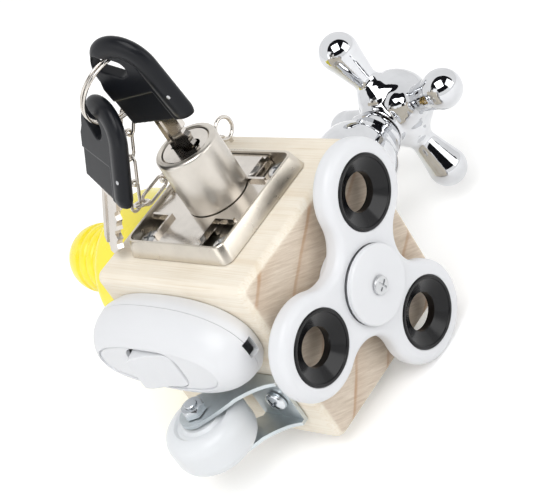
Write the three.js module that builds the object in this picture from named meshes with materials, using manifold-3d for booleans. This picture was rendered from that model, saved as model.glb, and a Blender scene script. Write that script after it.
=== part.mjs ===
// Sensory busy block: a wooden cube with a different household fitting on each of five faces.
// Millimetres, +Z up. The origin is the centre of the cube's bare bottom face.
// Top: drawer lock, keys and chain. Right: spinner. Front: rocker switch and caster.
// Back: tap handle. Left: ringed knob on a drum.

import * as THREE from 'three';
import { mergeVertices } from 'three/addons/utils/BufferGeometryUtils.js';
import { RoundedBoxGeometry } from 'three/addons/geometries/RoundedBoxGeometry.js';
import Module from 'manifold-3d';

const wasm = await Module();
wasm.setup();

// Clearances shared by every fitting

const seatGap = 0.3;
const cutOverrun = 1;
const weldTolerance = 0.0001;

// Facet counts

const roundSteps = 24;
const smallSteps = 12;
const tubeSides = 6;
const filletSteps = 3;
const armSteps = 12;
const rimSides = 10;
const screwSteps = 10;
const ballArcSteps = 7;
const lobeSteps = 7;

// Every screw's cross recess and head, as shares of the head's radius or height

const crossLengthShare = 1.25;
const crossWidthShare = 0.24;
const crossDepthShare = 0.55;
const screwHeadShares = [[1, 0], [1, 0.3], [0.8, 0.8], [0, 1]];

// Wooden cube

const blockEdge = 60;
const blockRounding = 3;

// Drawer lock on the top face, measured from the axis of its cylinder

const lockAxisX = 1;
const lockAxisY = 0.7;
const caseOffsetX = -1.5;
const caseOffsetY = -2.2;
const caseFoot = 40.5;
const caseRim = 38;
const caseHeight = 5.5;
const caseWall = 0.9;
const caseCornerRadius = 3;
const coverThickness = 1;
const coverBelowRim = 1;
const notchLength = 8.4;
const notchDepth = 9.6;
const lipHeight = 1.1;
const lipThickness = 0.8;
const cylinderRadius = 9.35;
const cylinderTop = 23;
const cylinderEdgeRadius = 1;
const spigotRadius = 8.4;
const plugRadius = 7.2;
const plugGap = 0.25;
const plugBelowTop = 0.4;
const keywayWidth = 9.3;
const keywayThickness = 2.6;
const keywayDepth = 16;
const driverRadius = 1.2;
const plugTurn = THREE.MathUtils.degToRad(90);
const boltWidth = 16;
const boltThickness = 2;
const boltInside = 13;
const boltTravel = 8;
const boltSlotSlack = 0.2;

// Lock fixing screws

const lockScrewHead = 3.2;
const lockScrewHeadHeight = 1.5;
const lockScrewShank = 1.5;
const lockScrewLength = 12;
const lockScrewInset = 5.2;

// Keys, in the plane of the head, measured from the rivet: across to the rim side, along to the far end

const headAcross = 23.4;
const headPastRivet = 2.6;
const headBelowRivet = 7.9;
const headArcAbove = 9.7;
const headThickness = 3.5;
const headRimWidth = 7;
const headRimThickness = 4.5;
const headRimSweep = THREE.MathUtils.degToRad(150);
const headEndSlope = 1.9;
const panelRecess = 0.5;
const panelAbove = 2.6;
const ringHoleRadius = 2.5;
const ringHoleHalfLength = 5.4;
const ringHoleAboveArc = 3.6;
const ringHoleAside = 3.3;
const ringHoleTilt = THREE.MathUtils.degToRad(-33);
const headLeans = [8, 5].map(THREE.MathUtils.degToRad);
const bladeWidth = 8.4;
const bladeThickness = 1.8;
const bladeOffset = 7.8;
const bladeReach = 27;
const bladePointLength = 3;
const bladeGrooveWidth = 2;
const bladeGrooveDepth = 0.45;
const tangRadius = 1.4;
const tangShoulderShare = 1.6;
const rivetRadius = 0.8;
const bladeCutShares = [0.55, 1, 0.35, 0.8];
const bladeCutRunShare = 0.77;
const bladeCutRun = (bladeReach - headBelowRivet - bladePointLength) * bladeCutRunShare;
const bladeCutPitch = bladeCutRun / bladeCutShares.length;
const bladeCutDepth = 1.5;
const bladeInserted = 8.4;
const keyShowing = bladeReach - bladeInserted;
const keyTurn = THREE.MathUtils.degToRad(5);

// Key ring, with its plane given by two directions, and the second key hanging from it

const ringRadius = 11.5;
const ringWireRadius = 0.42;
const ringTurnPitch = 1.16;
const ringEndAngle = THREE.MathUtils.degToRad(24);
const ringKeyAngle = THREE.MathUtils.degToRad(65.4);
const ringChainAngle = THREE.MathUtils.degToRad(-120);
const ringOutward = new THREE.Vector3(-0.053, -0.886, 0.461).normalize();
const ringUpward = new THREE.Vector3(0.524, 0.369, 0.768);
const ringInFirstKey = [-12.1, 14.9];
const ringInSecondKey = [-12.8, 12.3];
const secondKeyTurn = new THREE.Vector3(-0.415, 0.205, -0.326);

// Chain of oval wire links: the points where they join. The hanging ones are given as shares of the way
// from the lock's corner up to the ring, and the lying ones run along the lock's edge towards the eye.

const chainWireRadius = 0.5;
const chainLinkHalfWidth = 1.8;
const ringLinkHalfWidth = 2.6;
const chainHangShares = [[0.76, 0.74, 0.8], [0.47, 0.5, 0.53], [0.22, 0.24, 0.255]];
const chainCorner = [-22.6, -9.1, 67.5];
const chainLyingJoins = [[-22.9, -5.4, 66], [-21.3, 2.7, 67], [-19.6, 11, 68.2], [-18, 19, 68.2]];
const eyeX = -16;
const eyeY = 26.2;
const eyeLoopRadius = 3.4;
const eyeWireRadius = 0.6;
const eyeNeck = 1.6;
const eyeShankLength = 9;

// Spinner on the right face

const spinnerUp = 3;
const spinnerTurn = THREE.MathUtils.degToRad(-4.5);
const lobeDistance = 25.2;
const lobeRadius = 15;
const valleyDistance = 14.8;
const spinnerBodyBack = 3.6;
const spinnerBodyThickness = 6.4;
const spinnerEdge = 2.3;
const ringOuterRadius = 10.6;
const ringMouthRadius = 9.5;
const ringBoreRadius = 5.6;
const ringProud = 0.35;
const bearingOuterRadius = 11;
const bearingBoreRadius = 4;
const raceThickness = 2;
const bearingWidth = 7;
const bearingBallRadius = 1.2;
const bearingBallCount = 7;
const ballSteps = 4;
const cageThickness = 1;
const capRadius = 11.3;
const capThickness = 1.5;
const capEdge = 0.7;
const capBossRadius = 5.4;
const capSpigotRadius = 3.7;
const spinnerScrewHead = 2.75;
const spinnerScrewHeadHeight = 1.1;
const spinnerScrewShank = 1.7;
const spinnerScrewLength = 24;

// Rocker switch on the front face

const switchAcross = -2.7;
const switchUp = 12.5;
const switchLength = 58.8;
const switchWidth = 28.5;
const switchSeam = 5.5;
const switchFootShare = 0.94;
const switchFlareShare = 0.6;
const switchHeight = 15.5;
const switchWall = 1.8;
const switchPanelLength = 47;
const switchPanelWidth = 16;
const switchPanelStep = 0.35;
const switchOvalPower = 2.4;
const rockerRadius = 9.6;
const rockerWidth = 12.5;
const rockerAxisHeight = 11.2;
const rockerCornerRadius = 5;
const rockerGap = 0.6;
const rockerTilt = THREE.MathUtils.degToRad(14);
const rockerRise = 6.2;
const rockerDip = 5.3;
const trunnionRadius = 1.2;
const trunnionLength = 1.2;
const cordHoleWidth = 5;
const cordHoleHeight = 3.6;
const cordHoleAside = 1.2;
const cordHoleAboveSeam = -0.8;
const switchScrewInset = 9.4;
const switchScrewHead = 2.6;
const switchScrewHeadHeight = 1.3;
const switchScrewShank = 1.3;
const switchScrewLength = 10;

// Caster on the front face, measured from its fixing screw

const casterAcross = 16.9;
const casterUp = -12.5;
const forkSheet = 1.2;
const forkLength = 15;
const forkFront = 5.2;
const forkWidth = 17.6;
const casterTrail = 14.9;
const axleOut = 16;
const axleBossRadius = 5.3;
const armWaistShare = 0.62;
const armShoulderShare = 0.95;
const armHeelShare = 0.45;
const armBossStart = THREE.MathUtils.degToRad(54);
const armBossEnd = THREE.MathUtils.degToRad(198);
const wheelRadius = 12.7;
const wheelWidth = 13;
const wheelShoulder = 4.2;
const wheelHubRadius = 6.5;
const wheelDish = 0.8;
const axleRadius = 1.8;
const axleHeadRadius = 3.4;
const axleHeadHeight = 1.6;
const axleCrownShare = 0.8;
const axleEdgeShare = 0.6;
const axleNutRadius = 3.6;
const axleNutHeight = 2.6;
const axlePastNut = 0.4;
const nutClearShare = 1.1;
const nutFaceShare = 0.85;
const casterScrewHead = 3.3;
const casterScrewHeadHeight = 2;
const casterScrewShank = 1.7;
const casterScrewLength = 16;

// Tap on the back face

const tapUp = 0.8;
const bonnetLength = 32.6;
const bonnetFootRadius = 15;
const bonnetRadius = 13;
const bonnetShoulder = 17.5;
const bonnetDomeHeight = 8.5;
const bonnetCollarRadius = 9.4;
const bonnetMouthRadius = 7.6;
const bonnetBead = 1.5;
const stemRadius = 3.4;
const stemNeckRadius = 5.6;
const stemHeadRadius = 2.6;
const handlePlane = 42;
const handleHubRadius = 11.6;
const handleHubFront = 13;
const handleHubBack = 8.5;
const handleNeckRadius = 7.4;
const handleReach = 25;
const handleBallRadius = 6.3;
const handleWaistRadius = 4.1;
const handleWaistReach = 13;
const hubBackShares = [[0.67, 0.75], [0.86, 0.38], [1, 0]];
const hubFrontShares = [[0.95, 0.38], [0.8, 0.67], [0.5, 0.9], [0, 1]];
const armRootShares = [[0.76, 0], [0.66, 0.62], [0.48, 0.92]];
const armWaistShares = [[1, 1], [1.14, 1.3]];
const handleBallStart = THREE.MathUtils.degToRad(-20);
const handleTurn = THREE.MathUtils.degToRad(-20);
const handleArms = 4;
const stemRootLength = 14;

// Ringed knob and its drum on the left face

const knobUp = 3;
const drumRadius = 23;
const drumLength = 22;
const drumEdge = 4;
const drumWall = 2.2;
const drumPlateThickness = 2.4;
const drumPlateScrewRadius = 14;
const knobRadius = 11;
const knobBallCentre = 42.6;
const knobRingCount = 6;
const knobRingDepth = 0.9;
const knobRingShares = [[1 / 3, 0.2], [0, 0.5], [1 / 3, 0.8], [1, 1]];
const knobBallStart = THREE.MathUtils.degToRad(4);
const knobStemRadius = 5;
const knobStemInside = 7;
const knobClipRadius = 8;
const knobClipThickness = 1.6;

// Materials

const pine = new THREE.MeshStandardMaterial({ color: '#e8cfa6', roughness: 0.7 });
const nickel = new THREE.MeshStandardMaterial({ color: '#b9b3a9', roughness: 0.25, metalness: 1 });
const brass = new THREE.MeshStandardMaterial({ color: '#b08d4a', roughness: 0.35, metalness: 1 });
const steel = new THREE.MeshStandardMaterial({ color: '#9aa0a2', roughness: 0.35, metalness: 1 });
const zinc = new THREE.MeshStandardMaterial({ color: '#a3adb0', roughness: 0.4, metalness: 1 });
const chrome = new THREE.MeshStandardMaterial({ color: '#dfe3e6', roughness: 0.06, metalness: 1 });
const blackPlastic = new THREE.MeshStandardMaterial({ color: '#1d1f24', roughness: 0.45 });
const glossBlack = new THREE.MeshStandardMaterial({ color: '#0d0d0d', roughness: 0.25 });
const whitePlastic = new THREE.MeshStandardMaterial({ color: '#f4f4f6', roughness: 0.3 });
const nylon = new THREE.MeshStandardMaterial({ color: '#f1f2f4', roughness: 0.35 });
const yellowPlastic = new THREE.MeshStandardMaterial({ color: '#ffee38', roughness: 0.4 });

const busyBlock = new THREE.Group();

// Geometry helpers

// One closed mesh with shared vertices and no collapsed triangles
function weld(geometry) {
  const bare = new THREE.BufferGeometry();
  bare.setAttribute('position', geometry.getAttribute('position').clone());
  if (geometry.index) bare.setIndex(geometry.index.clone());
  const merged = mergeVertices(bare, weldTolerance);
  const kept = [];
  const index = merged.index.array;
  for (let i = 0; i < index.length; i += 3) {
    const [a, b, c] = [index[i], index[i + 1], index[i + 2]];
    if (a !== b && b !== c && c !== a) kept.push(a, b, c);
  }
  merged.setIndex(kept);
  return merged;
}

function toSolid(geometry) {
  const merged = weld(geometry);
  const vertProperties = new Float32Array(merged.getAttribute('position').array);
  const triVerts = new Uint32Array(merged.index.array);
  return new wasm.Manifold(new wasm.Mesh({ numProp: 3, vertProperties, triVerts }));
}

function fromSolid(solid) {
  const mesh = solid.getMesh();
  const geometry = new THREE.BufferGeometry();
  geometry.setAttribute('position', new THREE.BufferAttribute(mesh.vertProperties, 3));
  geometry.setIndex(new THREE.BufferAttribute(mesh.triVerts, 1));
  return geometry;
}

function cut(base, ...tools) {
  let solid = toSolid(base);
  for (const tool of tools) solid = solid.subtract(toSolid(tool));
  return fromSolid(solid);
}

function join(base, ...others) {
  let solid = toSolid(base);
  for (const other of others) solid = solid.add(toSolid(other));
  return fromSolid(solid);
}

function common(base, other) {
  return fromSolid(toSolid(base).intersect(toSolid(other)));
}

// A turned solid about +Z from [radius, height] points, listed from the bottom up
function revolve(points, steps = roundSteps) {
  const profile = points.map(([radius, height]) => new THREE.Vector2(radius, height));
  return new THREE.LatheGeometry(profile, steps).rotateX(Math.PI / 2);
}

function rod(radius, from, to, steps = smallSteps) {
  return revolve([[0, from], [radius, from], [radius, to], [0, to]], steps);
}

function tubeBetween(inner, outer, from, to, steps = roundSteps) {
  return revolve([[inner, from], [outer, from], [outer, to], [inner, to], [inner, from]], steps);
}

function box(width, depth, height, x = 0, y = 0, z = 0) {
  return new THREE.BoxGeometry(width, depth, height).translate(x, y, z);
}

// A flat outline raised along +Z from one height to another
function slab(shape, from, to, steps = filletSteps) {
  const options = { depth: to - from, bevelEnabled: false, curveSegments: steps };
  return new THREE.ExtrudeGeometry(shape, options).translate(0, 0, from);
}

// Points of a quarter round of a turned edge, from start angle to end angle
function arcPoints(centreRadius, centreHeight, radius, start, end, steps = filletSteps) {
  const points = [];
  for (let i = 0; i <= steps; i += 1) {
    const angle = start + (end - start) * i / steps;
    points.push([centreRadius + radius * Math.cos(angle), centreHeight + radius * Math.sin(angle)]);
  }
  return points;
}

// A solid skinned over closed loops of equally many points, listed from the bottom up
function loft(loops) {
  const count = loops[0].length;
  const positions = loops.flat().flatMap((point) => point.toArray());
  const index = [];
  for (let ring = 0; ring < loops.length - 1; ring += 1) {
    for (let i = 0; i < count; i += 1) {
      const a = ring * count + i;
      const b = ring * count + (i + 1) % count;
      index.push(a, b, b + count, a, b + count, a + count);
    }
  }
  const last = (loops.length - 1) * count;
  for (const [start, flip] of [[0, true], [last, false]]) {
    const loop = loops[start / count];
    const centre = loop.reduce((sum, point) => sum.add(point), new THREE.Vector3()).divideScalar(count);
    const centreIndex = positions.length / 3;
    positions.push(...centre.toArray());
    for (let i = 0; i < count; i += 1) {
      const a = start + i;
      const b = start + (i + 1) % count;
      if (flip) index.push(centreIndex, b, a);
      else index.push(centreIndex, a, b);
    }
  }
  const geometry = new THREE.BufferGeometry();
  geometry.setAttribute('position', new THREE.Float32BufferAttribute(positions, 3));
  geometry.setIndex(index);
  return geometry;
}

// A round or oval wire swept along points; a closed path joins its last point to its first
function sweep(path, halfWidth, { closed = false, sides = tubeSides, halfDepth = halfWidth, up = null } = {}) {
  const count = path.length;
  const tangentAt = (i) => {
    const before = closed ? path[(i + count - 1) % count] : path[Math.max(i - 1, 0)];
    const after = closed ? path[(i + 1) % count] : path[Math.min(i + 1, count - 1)];
    return after.clone().sub(before).normalize();
  };
  const loops = path.map((point, i) => {
    const tangent = tangentAt(i);
    const side = new THREE.Vector3().crossVectors(tangent, up).normalize();
    const over = new THREE.Vector3().crossVectors(side, tangent).normalize();
    const loop = [];
    for (let k = 0; k < sides; k += 1) {
      const angle = 2 * Math.PI * k / sides;
      loop.push(point.clone()
        .addScaledVector(side, halfWidth * Math.cos(angle))
        .addScaledVector(over, halfDepth * Math.sin(angle)));
    }
    return loop;
  });
  if (!closed) return facingOut(loft(loops));
  const positions = loops.flat().flatMap((point) => point.toArray());
  const index = [];
  for (let i = 0; i < count; i += 1) {
    for (let k = 0; k < sides; k += 1) {
      const a = i * sides + k;
      const b = i * sides + (k + 1) % sides;
      const c = ((i + 1) % count) * sides + (k + 1) % sides;
      const d = ((i + 1) % count) * sides + k;
      index.push(a, b, c, a, c, d);
    }
  }
  const geometry = new THREE.BufferGeometry();
  geometry.setAttribute('position', new THREE.Float32BufferAttribute(positions, 3));
  geometry.setIndex(index);
  return facingOut(geometry);
}

// The same closed mesh with its triangles turned, if need be, to face out
function facingOut(geometry) {
  const position = geometry.getAttribute('position');
  const index = geometry.index.array;
  const corner = [new THREE.Vector3(), new THREE.Vector3(), new THREE.Vector3()];
  let volume = 0;
  for (let i = 0; i < index.length; i += 3) {
    corner.forEach((point, k) => point.fromBufferAttribute(position, index[i + k]));
    volume += corner[0].dot(corner[1].clone().cross(corner[2]));
  }
  if (volume < 0) {
    for (let i = 0; i < index.length; i += 3) [index[i], index[i + 1]] = [index[i + 1], index[i]];
  }
  return geometry;
}

function roundedRectangle(width, depth, radius, x = 0, y = 0) {
  const shape = new THREE.Shape();
  const [left, right] = [x - width / 2, x + width / 2];
  const [bottom, top] = [y - depth / 2, y + depth / 2];
  shape.absarc(right - radius, bottom + radius, radius, -Math.PI / 2, 0);
  shape.absarc(right - radius, top - radius, radius, 0, Math.PI / 2);
  shape.absarc(left + radius, top - radius, radius, Math.PI / 2, Math.PI);
  shape.absarc(left + radius, bottom + radius, radius, Math.PI, 3 * Math.PI / 2);
  shape.closePath();
  return shape;
}

// Points of a square with rounded corners at one height, for lofting
function squareLoop(size, radius, x, y, height) {
  const loop = [];
  for (let corner = 0; corner < 4; corner += 1) {
    const across = [1, -1, -1, 1][corner] * (size / 2 - radius);
    const along = [1, 1, -1, -1][corner] * (size / 2 - radius);
    for (let i = 0; i <= filletSteps; i += 1) {
      const angle = (corner + i / filletSteps) * Math.PI / 2;
      const point = [x + across + radius * Math.cos(angle), y + along + radius * Math.sin(angle)];
      loop.push(new THREE.Vector3(...point, height));
    }
  }
  return loop;
}

// Points of a full oval at one height; a higher power makes it squarer
function ovalLoop(length, width, height, power, steps = roundSteps) {
  const loop = [];
  for (let i = 0; i < steps; i += 1) {
    const angle = 2 * Math.PI * i / steps;
    const [c, s] = [Math.cos(angle), Math.sin(angle)];
    const x = Math.sign(c) * Math.abs(c) ** (2 / power) * length / 2;
    const y = Math.sign(s) * Math.abs(s) ** (2 / power) * width / 2;
    loop.push(new THREE.Vector3(x, y, height));
  }
  return loop;
}

// Fixing screws: underside of the head at zero, cross recess in the top, pointed end below
function screw(headRadius, headHeight, shankRadius, length) {
  const recessLength = crossLengthShare * headRadius;
  const recessWidth = crossWidthShare * headRadius;
  const recessDepth = crossDepthShare * headHeight;
  const body = revolve([
    [0, -length],
    [shankRadius, shankRadius * 2 - length],
    [shankRadius, 0],
    ...screwHeadShares.map(([across, up]) => [across * headRadius, up * headHeight]),
  ], screwSteps);
  const recessHeight = recessDepth + cutOverrun;
  const recessMiddle = headHeight - recessDepth + recessHeight / 2;
  const slotA = box(recessLength, recessWidth, recessHeight, 0, 0, recessMiddle);
  const slotB = box(recessWidth, recessLength, recessHeight, 0, 0, recessMiddle);
  return cut(body, slotA, slotB);
}

// The hole in the wood that a screw goes into, with its mouth past the face
function pilotHole(shankRadius, length) {
  return rod(shankRadius + seatGap, -length - seatGap, cutOverrun, screwSteps);
}

// Faces of the cube: each frame has +Z out of the face and, on a side face, +Y up

const faceFrames = {
  top: [[1, 0, 0], [0, 1, 0], [0, 0, 1], [0, 0, blockEdge]],
  right: [[0, 1, 0], [0, 0, 1], [1, 0, 0], [blockEdge / 2, 0, blockEdge / 2]],
  front: [[1, 0, 0], [0, 0, 1], [0, -1, 0], [0, -blockEdge / 2, blockEdge / 2]],
  back: [[-1, 0, 0], [0, 0, 1], [0, 1, 0], [0, blockEdge / 2, blockEdge / 2]],
  left: [[0, -1, 0], [0, 0, 1], [-1, 0, 0], [-blockEdge / 2, 0, blockEdge / 2]],
};

function facePlace(face, across, up) {
  const [x, y, z, centre] = faceFrames[face].map((values) => new THREE.Vector3(...values));
  const place = centre.addScaledVector(x, across).addScaledVector(y, up);
  return new THREE.Matrix4().makeBasis(x, y, z).setPosition(place);
}

function groupOn(face, across, up) {
  const group = new THREE.Group();
  facePlace(face, across, up).decompose(group.position, group.quaternion, group.scale);
  busyBlock.add(group);
  return group;
}

function add(group, name, geometry, material) {
  const mesh = new THREE.Mesh(weld(geometry), material);
  mesh.geometry.computeVertexNormals();
  mesh.name = name;
  group.add(mesh);
  return mesh;
}

// Pilot holes, gathered while the fittings are made and cut from the cube at the end

const pilotHoles = [];

function drill(face, across, up, shankRadius, length) {
  pilotHoles.push(pilotHole(shankRadius, length).applyMatrix4(facePlace(face, across, up)));
}

// Drawer lock: case, cover plate, cylinder, plug, bolt and four screws

const coverTop = caseHeight - coverBelowRim;
const coverBottom = coverTop - coverThickness;
const caseInside = caseRim - 2 * caseWall;
const boltBottom = seatGap + caseWall + seatGap;
const boltTop = boltBottom + boltThickness;
const boltTip = caseOffsetY + caseFoot / 2 - caseWall / 2;
const driverOrbit = boltTravel / (2 * Math.sin(plugTurn / 2));

function makeLockCase() {
  const [x, y] = [caseOffsetX, caseOffsetY];
  const outer = loft([
    squareLoop(caseFoot, caseCornerRadius, x, y, seatGap),
    squareLoop(caseRim, caseCornerRadius, x, y, caseHeight),
  ]);
  const draft = (caseFoot - caseRim) * caseWall / caseHeight;
  const inner = loft([
    squareLoop(caseFoot - 2 * caseWall - draft, caseCornerRadius - caseWall, x, y, seatGap + caseWall),
    squareLoop(caseInside, caseCornerRadius - caseWall, x, y, caseHeight),
    squareLoop(caseInside, caseCornerRadius - caseWall, x, y, caseHeight + cutOverrun),
  ]);
  const slotHeight = boltThickness + 2 * seatGap;
  const slotMiddle = (boltBottom + boltTop) / 2;
  const slot = box(boltWidth + 2 * seatGap, caseWall * 8, slotHeight, 0, boltTip, slotMiddle);
  const holes = lockScrewPlaces().map(([across, along]) => (
    rod(lockScrewShank + seatGap, -cutOverrun, caseWall + cutOverrun).translate(across, along, 0)
  ));
  return cut(outer, inner, slot, ...holes);
}

function lockScrewPlaces() {
  const reach = caseInside / 2 - lockScrewInset + lockScrewHead / 2;
  const signs = [[-1, -1], [1, -1], [1, 1], [-1, 1]];
  return signs.map(([a, b]) => [caseOffsetX + a * reach, caseOffsetY + b * reach]);
}

function makeLockCover() {
  const size = caseInside - 2 * seatGap;
  const radius = caseCornerRadius - caseWall - seatGap;
  const plate = slab(roundedRectangle(size, size, radius, caseOffsetX, caseOffsetY), coverBottom, coverTop);
  const notches = [];
  const lips = [];
  for (const [a, b] of [[-1, -1], [1, -1], [1, 1], [-1, 1]]) {
    const edgeX = caseOffsetX + a * (size / 2 - notchLength);
    const edgeY = caseOffsetY + b * (size / 2 - notchDepth);
    const width = notchLength + cutOverrun;
    const depth = notchDepth + cutOverrun;
    const middleX = edgeX + a * width / 2;
    const middleY = edgeY + b * depth / 2;
    notches.push(box(width, depth, 4 * coverThickness, middleX, middleY, coverBottom));
    const lipLength = notchLength - 2 * lipThickness;
    const lipDepth = notchDepth - lipThickness;
    const lipTall = coverThickness + lipHeight;
    const lipMiddle = coverBottom + lipTall / 2;
    const lipX = edgeX - a * lipThickness / 2;
    const lipY = edgeY - b * lipThickness / 2;
    const lipMiddleY = lipY + b * (lipDepth - lipThickness) / 2;
    lips.push(box(lipThickness, lipDepth, lipTall, lipX, lipMiddleY, lipMiddle));
    lips.push(box(lipLength, lipThickness, lipTall, edgeX + a * lipLength / 2, lipY, lipMiddle));
  }
  const hole = rod(spigotRadius + seatGap, coverBottom - cutOverrun, coverTop + cutOverrun, roundSteps);
  const aroundCylinder = rod(cylinderRadius + seatGap, coverTop, cylinderTop, roundSteps);
  return cut(join(cut(plate, hole, ...notches), ...lips), aroundCylinder);
}

function makeLockCylinder() {
  const bore = plugRadius + plugGap;
  const foot = coverTop + seatGap;
  const edge = cylinderEdgeRadius;
  return revolve([
    [bore, coverBottom],
    [spigotRadius, coverBottom],
    [spigotRadius, foot],
    [cylinderRadius, foot],
    ...arcPoints(cylinderRadius - edge, cylinderTop - edge, edge, 0, Math.PI / 2),
    [bore + edge / 2, cylinderTop],
    [bore, cylinderTop - edge / 2],
    [bore, coverBottom],
  ]);
}

function makeLockPlug() {
  const top = cylinderTop - plugBelowTop;
  const body = rod(plugRadius, coverBottom, top, roundSteps);
  const slotDepth = keywayDepth + cutOverrun;
  const keyway = box(keywayWidth, keywayThickness, slotDepth, 0, 0, top + cutOverrun - slotDepth / 2);
  const ward = rod(keywayThickness, top - keywayDepth / 4, top + cutOverrun).translate(keywayWidth / 4, 0, 0);
  const driver = rod(driverRadius, boltBottom, coverBottom + driverRadius)
    .translate(driverOrbit, 0, 0)
    .rotateZ(-plugTurn / 2);
  return join(cut(body, keyway, ward).rotateZ(keyTurn), driver);
}

function makeDeadbolt() {
  const length = boltTip + boltInside;
  const bar = box(boltWidth, length, boltThickness, 0, (boltTip - boltInside) / 2, (boltBottom + boltTop) / 2);
  const nose = box(2 * boltWidth, boltTravel / 2, 2 * boltThickness, 0, boltTravel / 4, 0)
    .rotateX(Math.PI / 6)
    .translate(0, boltTip - boltTravel / 8, boltTop);
  const driverStart = driverOrbit * Math.cos(plugTurn / 2);
  const slotWidth = driverOrbit - driverStart + 2 * (driverRadius + seatGap);
  const slotReach = 2 * (driverRadius + boltSlotSlack + seatGap);
  const slotAcross = (driverStart + driverOrbit) / 2;
  const slot = roundedRectangle(slotWidth, slotReach, driverRadius, slotAcross, -boltTravel / 2);
  return cut(bar, nose, slab(slot, boltBottom - cutOverrun, boltTop + cutOverrun));
}

const lock = groupOn('top', lockAxisX, lockAxisY);
add(lock, 'lock_case', makeLockCase(), nickel);
add(lock, 'lock_cover_plate', makeLockCover(), nickel);
add(lock, 'lock_cylinder', makeLockCylinder(), nickel);
add(lock, 'lock_plug', makeLockPlug(), nickel);
add(lock, 'lock_deadbolt', makeDeadbolt(), nickel);
lockScrewPlaces().forEach(([across, along], i) => {
  const geometry = screw(lockScrewHead, lockScrewHeadHeight, lockScrewShank, lockScrewLength);
  const mesh = add(lock, `lock_screw_${i + 1}`, geometry, steel);
  mesh.position.set(across, along, seatGap + caseWall + seatGap);
  drill('top', lockAxisX + across, lockAxisY + along, lockScrewShank, lockScrewLength);
});

// Keys: a moulded head with a thick rim round one side, a riveted blade, and a rivet.
// In a key's own frame X is across to the rim side, Z along to the far end, and -Y the front.

const headFlatSide = headPastRivet - headAcross;
const headArcCentre = headPastRivet - headAcross / 2;
const rimPathRadius = headAcross / 2 - headRimWidth / 2;
const rimPathAcross = headPastRivet - headRimWidth / 2;
const ringHolePlace = [headArcCentre - ringHoleAside, headArcAbove + ringHoleAboveArc];

// Turns an outline drawn across and along the key into a solid centred on the key's plane
function keySlab(shape, thickness) {
  return slab(shape, -thickness / 2, thickness / 2).rotateX(Math.PI / 2);
}

function headOutline() {
  const shape = new THREE.Shape();
  const radius = headAcross / 2 - headRimWidth / 6;
  shape.moveTo(rimPathAcross, -headBelowRivet);
  shape.lineTo(headArcCentre + radius, headArcAbove);
  shape.absarc(headArcCentre, headArcAbove, radius, 0, Math.PI);
  shape.lineTo(headFlatSide, headArcAbove - radius / 4);
  shape.lineTo(headFlatSide, headEndSlope - headBelowRivet);
  shape.closePath();
  return shape;
}

function headRim() {
  const path = [];
  for (let i = 0; i <= filletSteps; i += 1) {
    const along = -headBelowRivet + (headArcAbove + headBelowRivet) * i / filletSteps;
    path.push(new THREE.Vector3(rimPathAcross, 0, along));
  }
  for (let i = 1; i <= rimSides; i += 1) {
    const angle = headRimSweep * i / rimSides;
    const across = headArcCentre + rimPathRadius * Math.cos(angle);
    path.push(new THREE.Vector3(across, 0, headArcAbove + rimPathRadius * Math.sin(angle)));
  }
  const up = new THREE.Vector3(0, 1, 0);
  const halfDepth = headRimThickness / 2;
  return sweep(path, headRimWidth / 2, { sides: rimSides, halfDepth, up });
}

function ringHoleTool() {
  const shape = new THREE.Shape();
  shape.absarc(ringHoleHalfLength - ringHoleRadius, 0, ringHoleRadius, -Math.PI / 2, Math.PI / 2);
  shape.absarc(ringHoleRadius - ringHoleHalfLength, 0, ringHoleRadius, Math.PI / 2, 3 * Math.PI / 2);
  shape.closePath();
  return keySlab(shape, 2 * headRimThickness)
    .rotateY(-ringHoleTilt)
    .translate(ringHolePlace[0], 0, ringHolePlace[1]);
}

function bladeOutline(grow) {
  const shape = new THREE.Shape();
  const left = -bladeOffset - bladeWidth / 2 - grow;
  const right = -bladeOffset + bladeWidth / 2 + grow;
  const shoulder = tangRadius + grow;
  shape.moveTo(right, -headBelowRivet - cutOverrun);
  shape.lineTo(right, -shoulder * tangShoulderShare);
  shape.lineTo(0, -shoulder);
  shape.absarc(0, 0, shoulder, -Math.PI / 2, Math.PI / 2);
  shape.lineTo(left + shoulder, shoulder);
  shape.lineTo(left, 0);
  shape.lineTo(left, -headBelowRivet - cutOverrun);
  shape.closePath();
  return shape;
}

function makeKeyHead(lean) {
  const panelTop = panelAbove;
  const panelWidth = headAcross - headRimWidth + cutOverrun;
  const panelHeight = panelTop + headBelowRivet + cutOverrun;
  const panelX = headFlatSide - cutOverrun + panelWidth / 2;
  const panelZ = panelTop - panelHeight / 2;
  const recessDepth = headRimThickness;
  const recessY = headThickness / 2 - panelRecess + recessDepth / 2;
  const front = box(panelWidth, recessDepth, panelHeight, panelX, -recessY, panelZ);
  const back = box(panelWidth, recessDepth, panelHeight, panelX, recessY, panelZ);
  const plate = cut(keySlab(headOutline(), headThickness), front, back);
  const solid = join(plate, headRim());
  const pocket = keySlab(bladeOutline(seatGap), bladeThickness + 2 * seatGap);
  const rivetHole = rod(rivetRadius + seatGap, -headRimThickness, headRimThickness).rotateX(Math.PI / 2);
  return cut(solid, ringHoleTool(), pocket.rotateY(lean), rivetHole);
}

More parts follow.
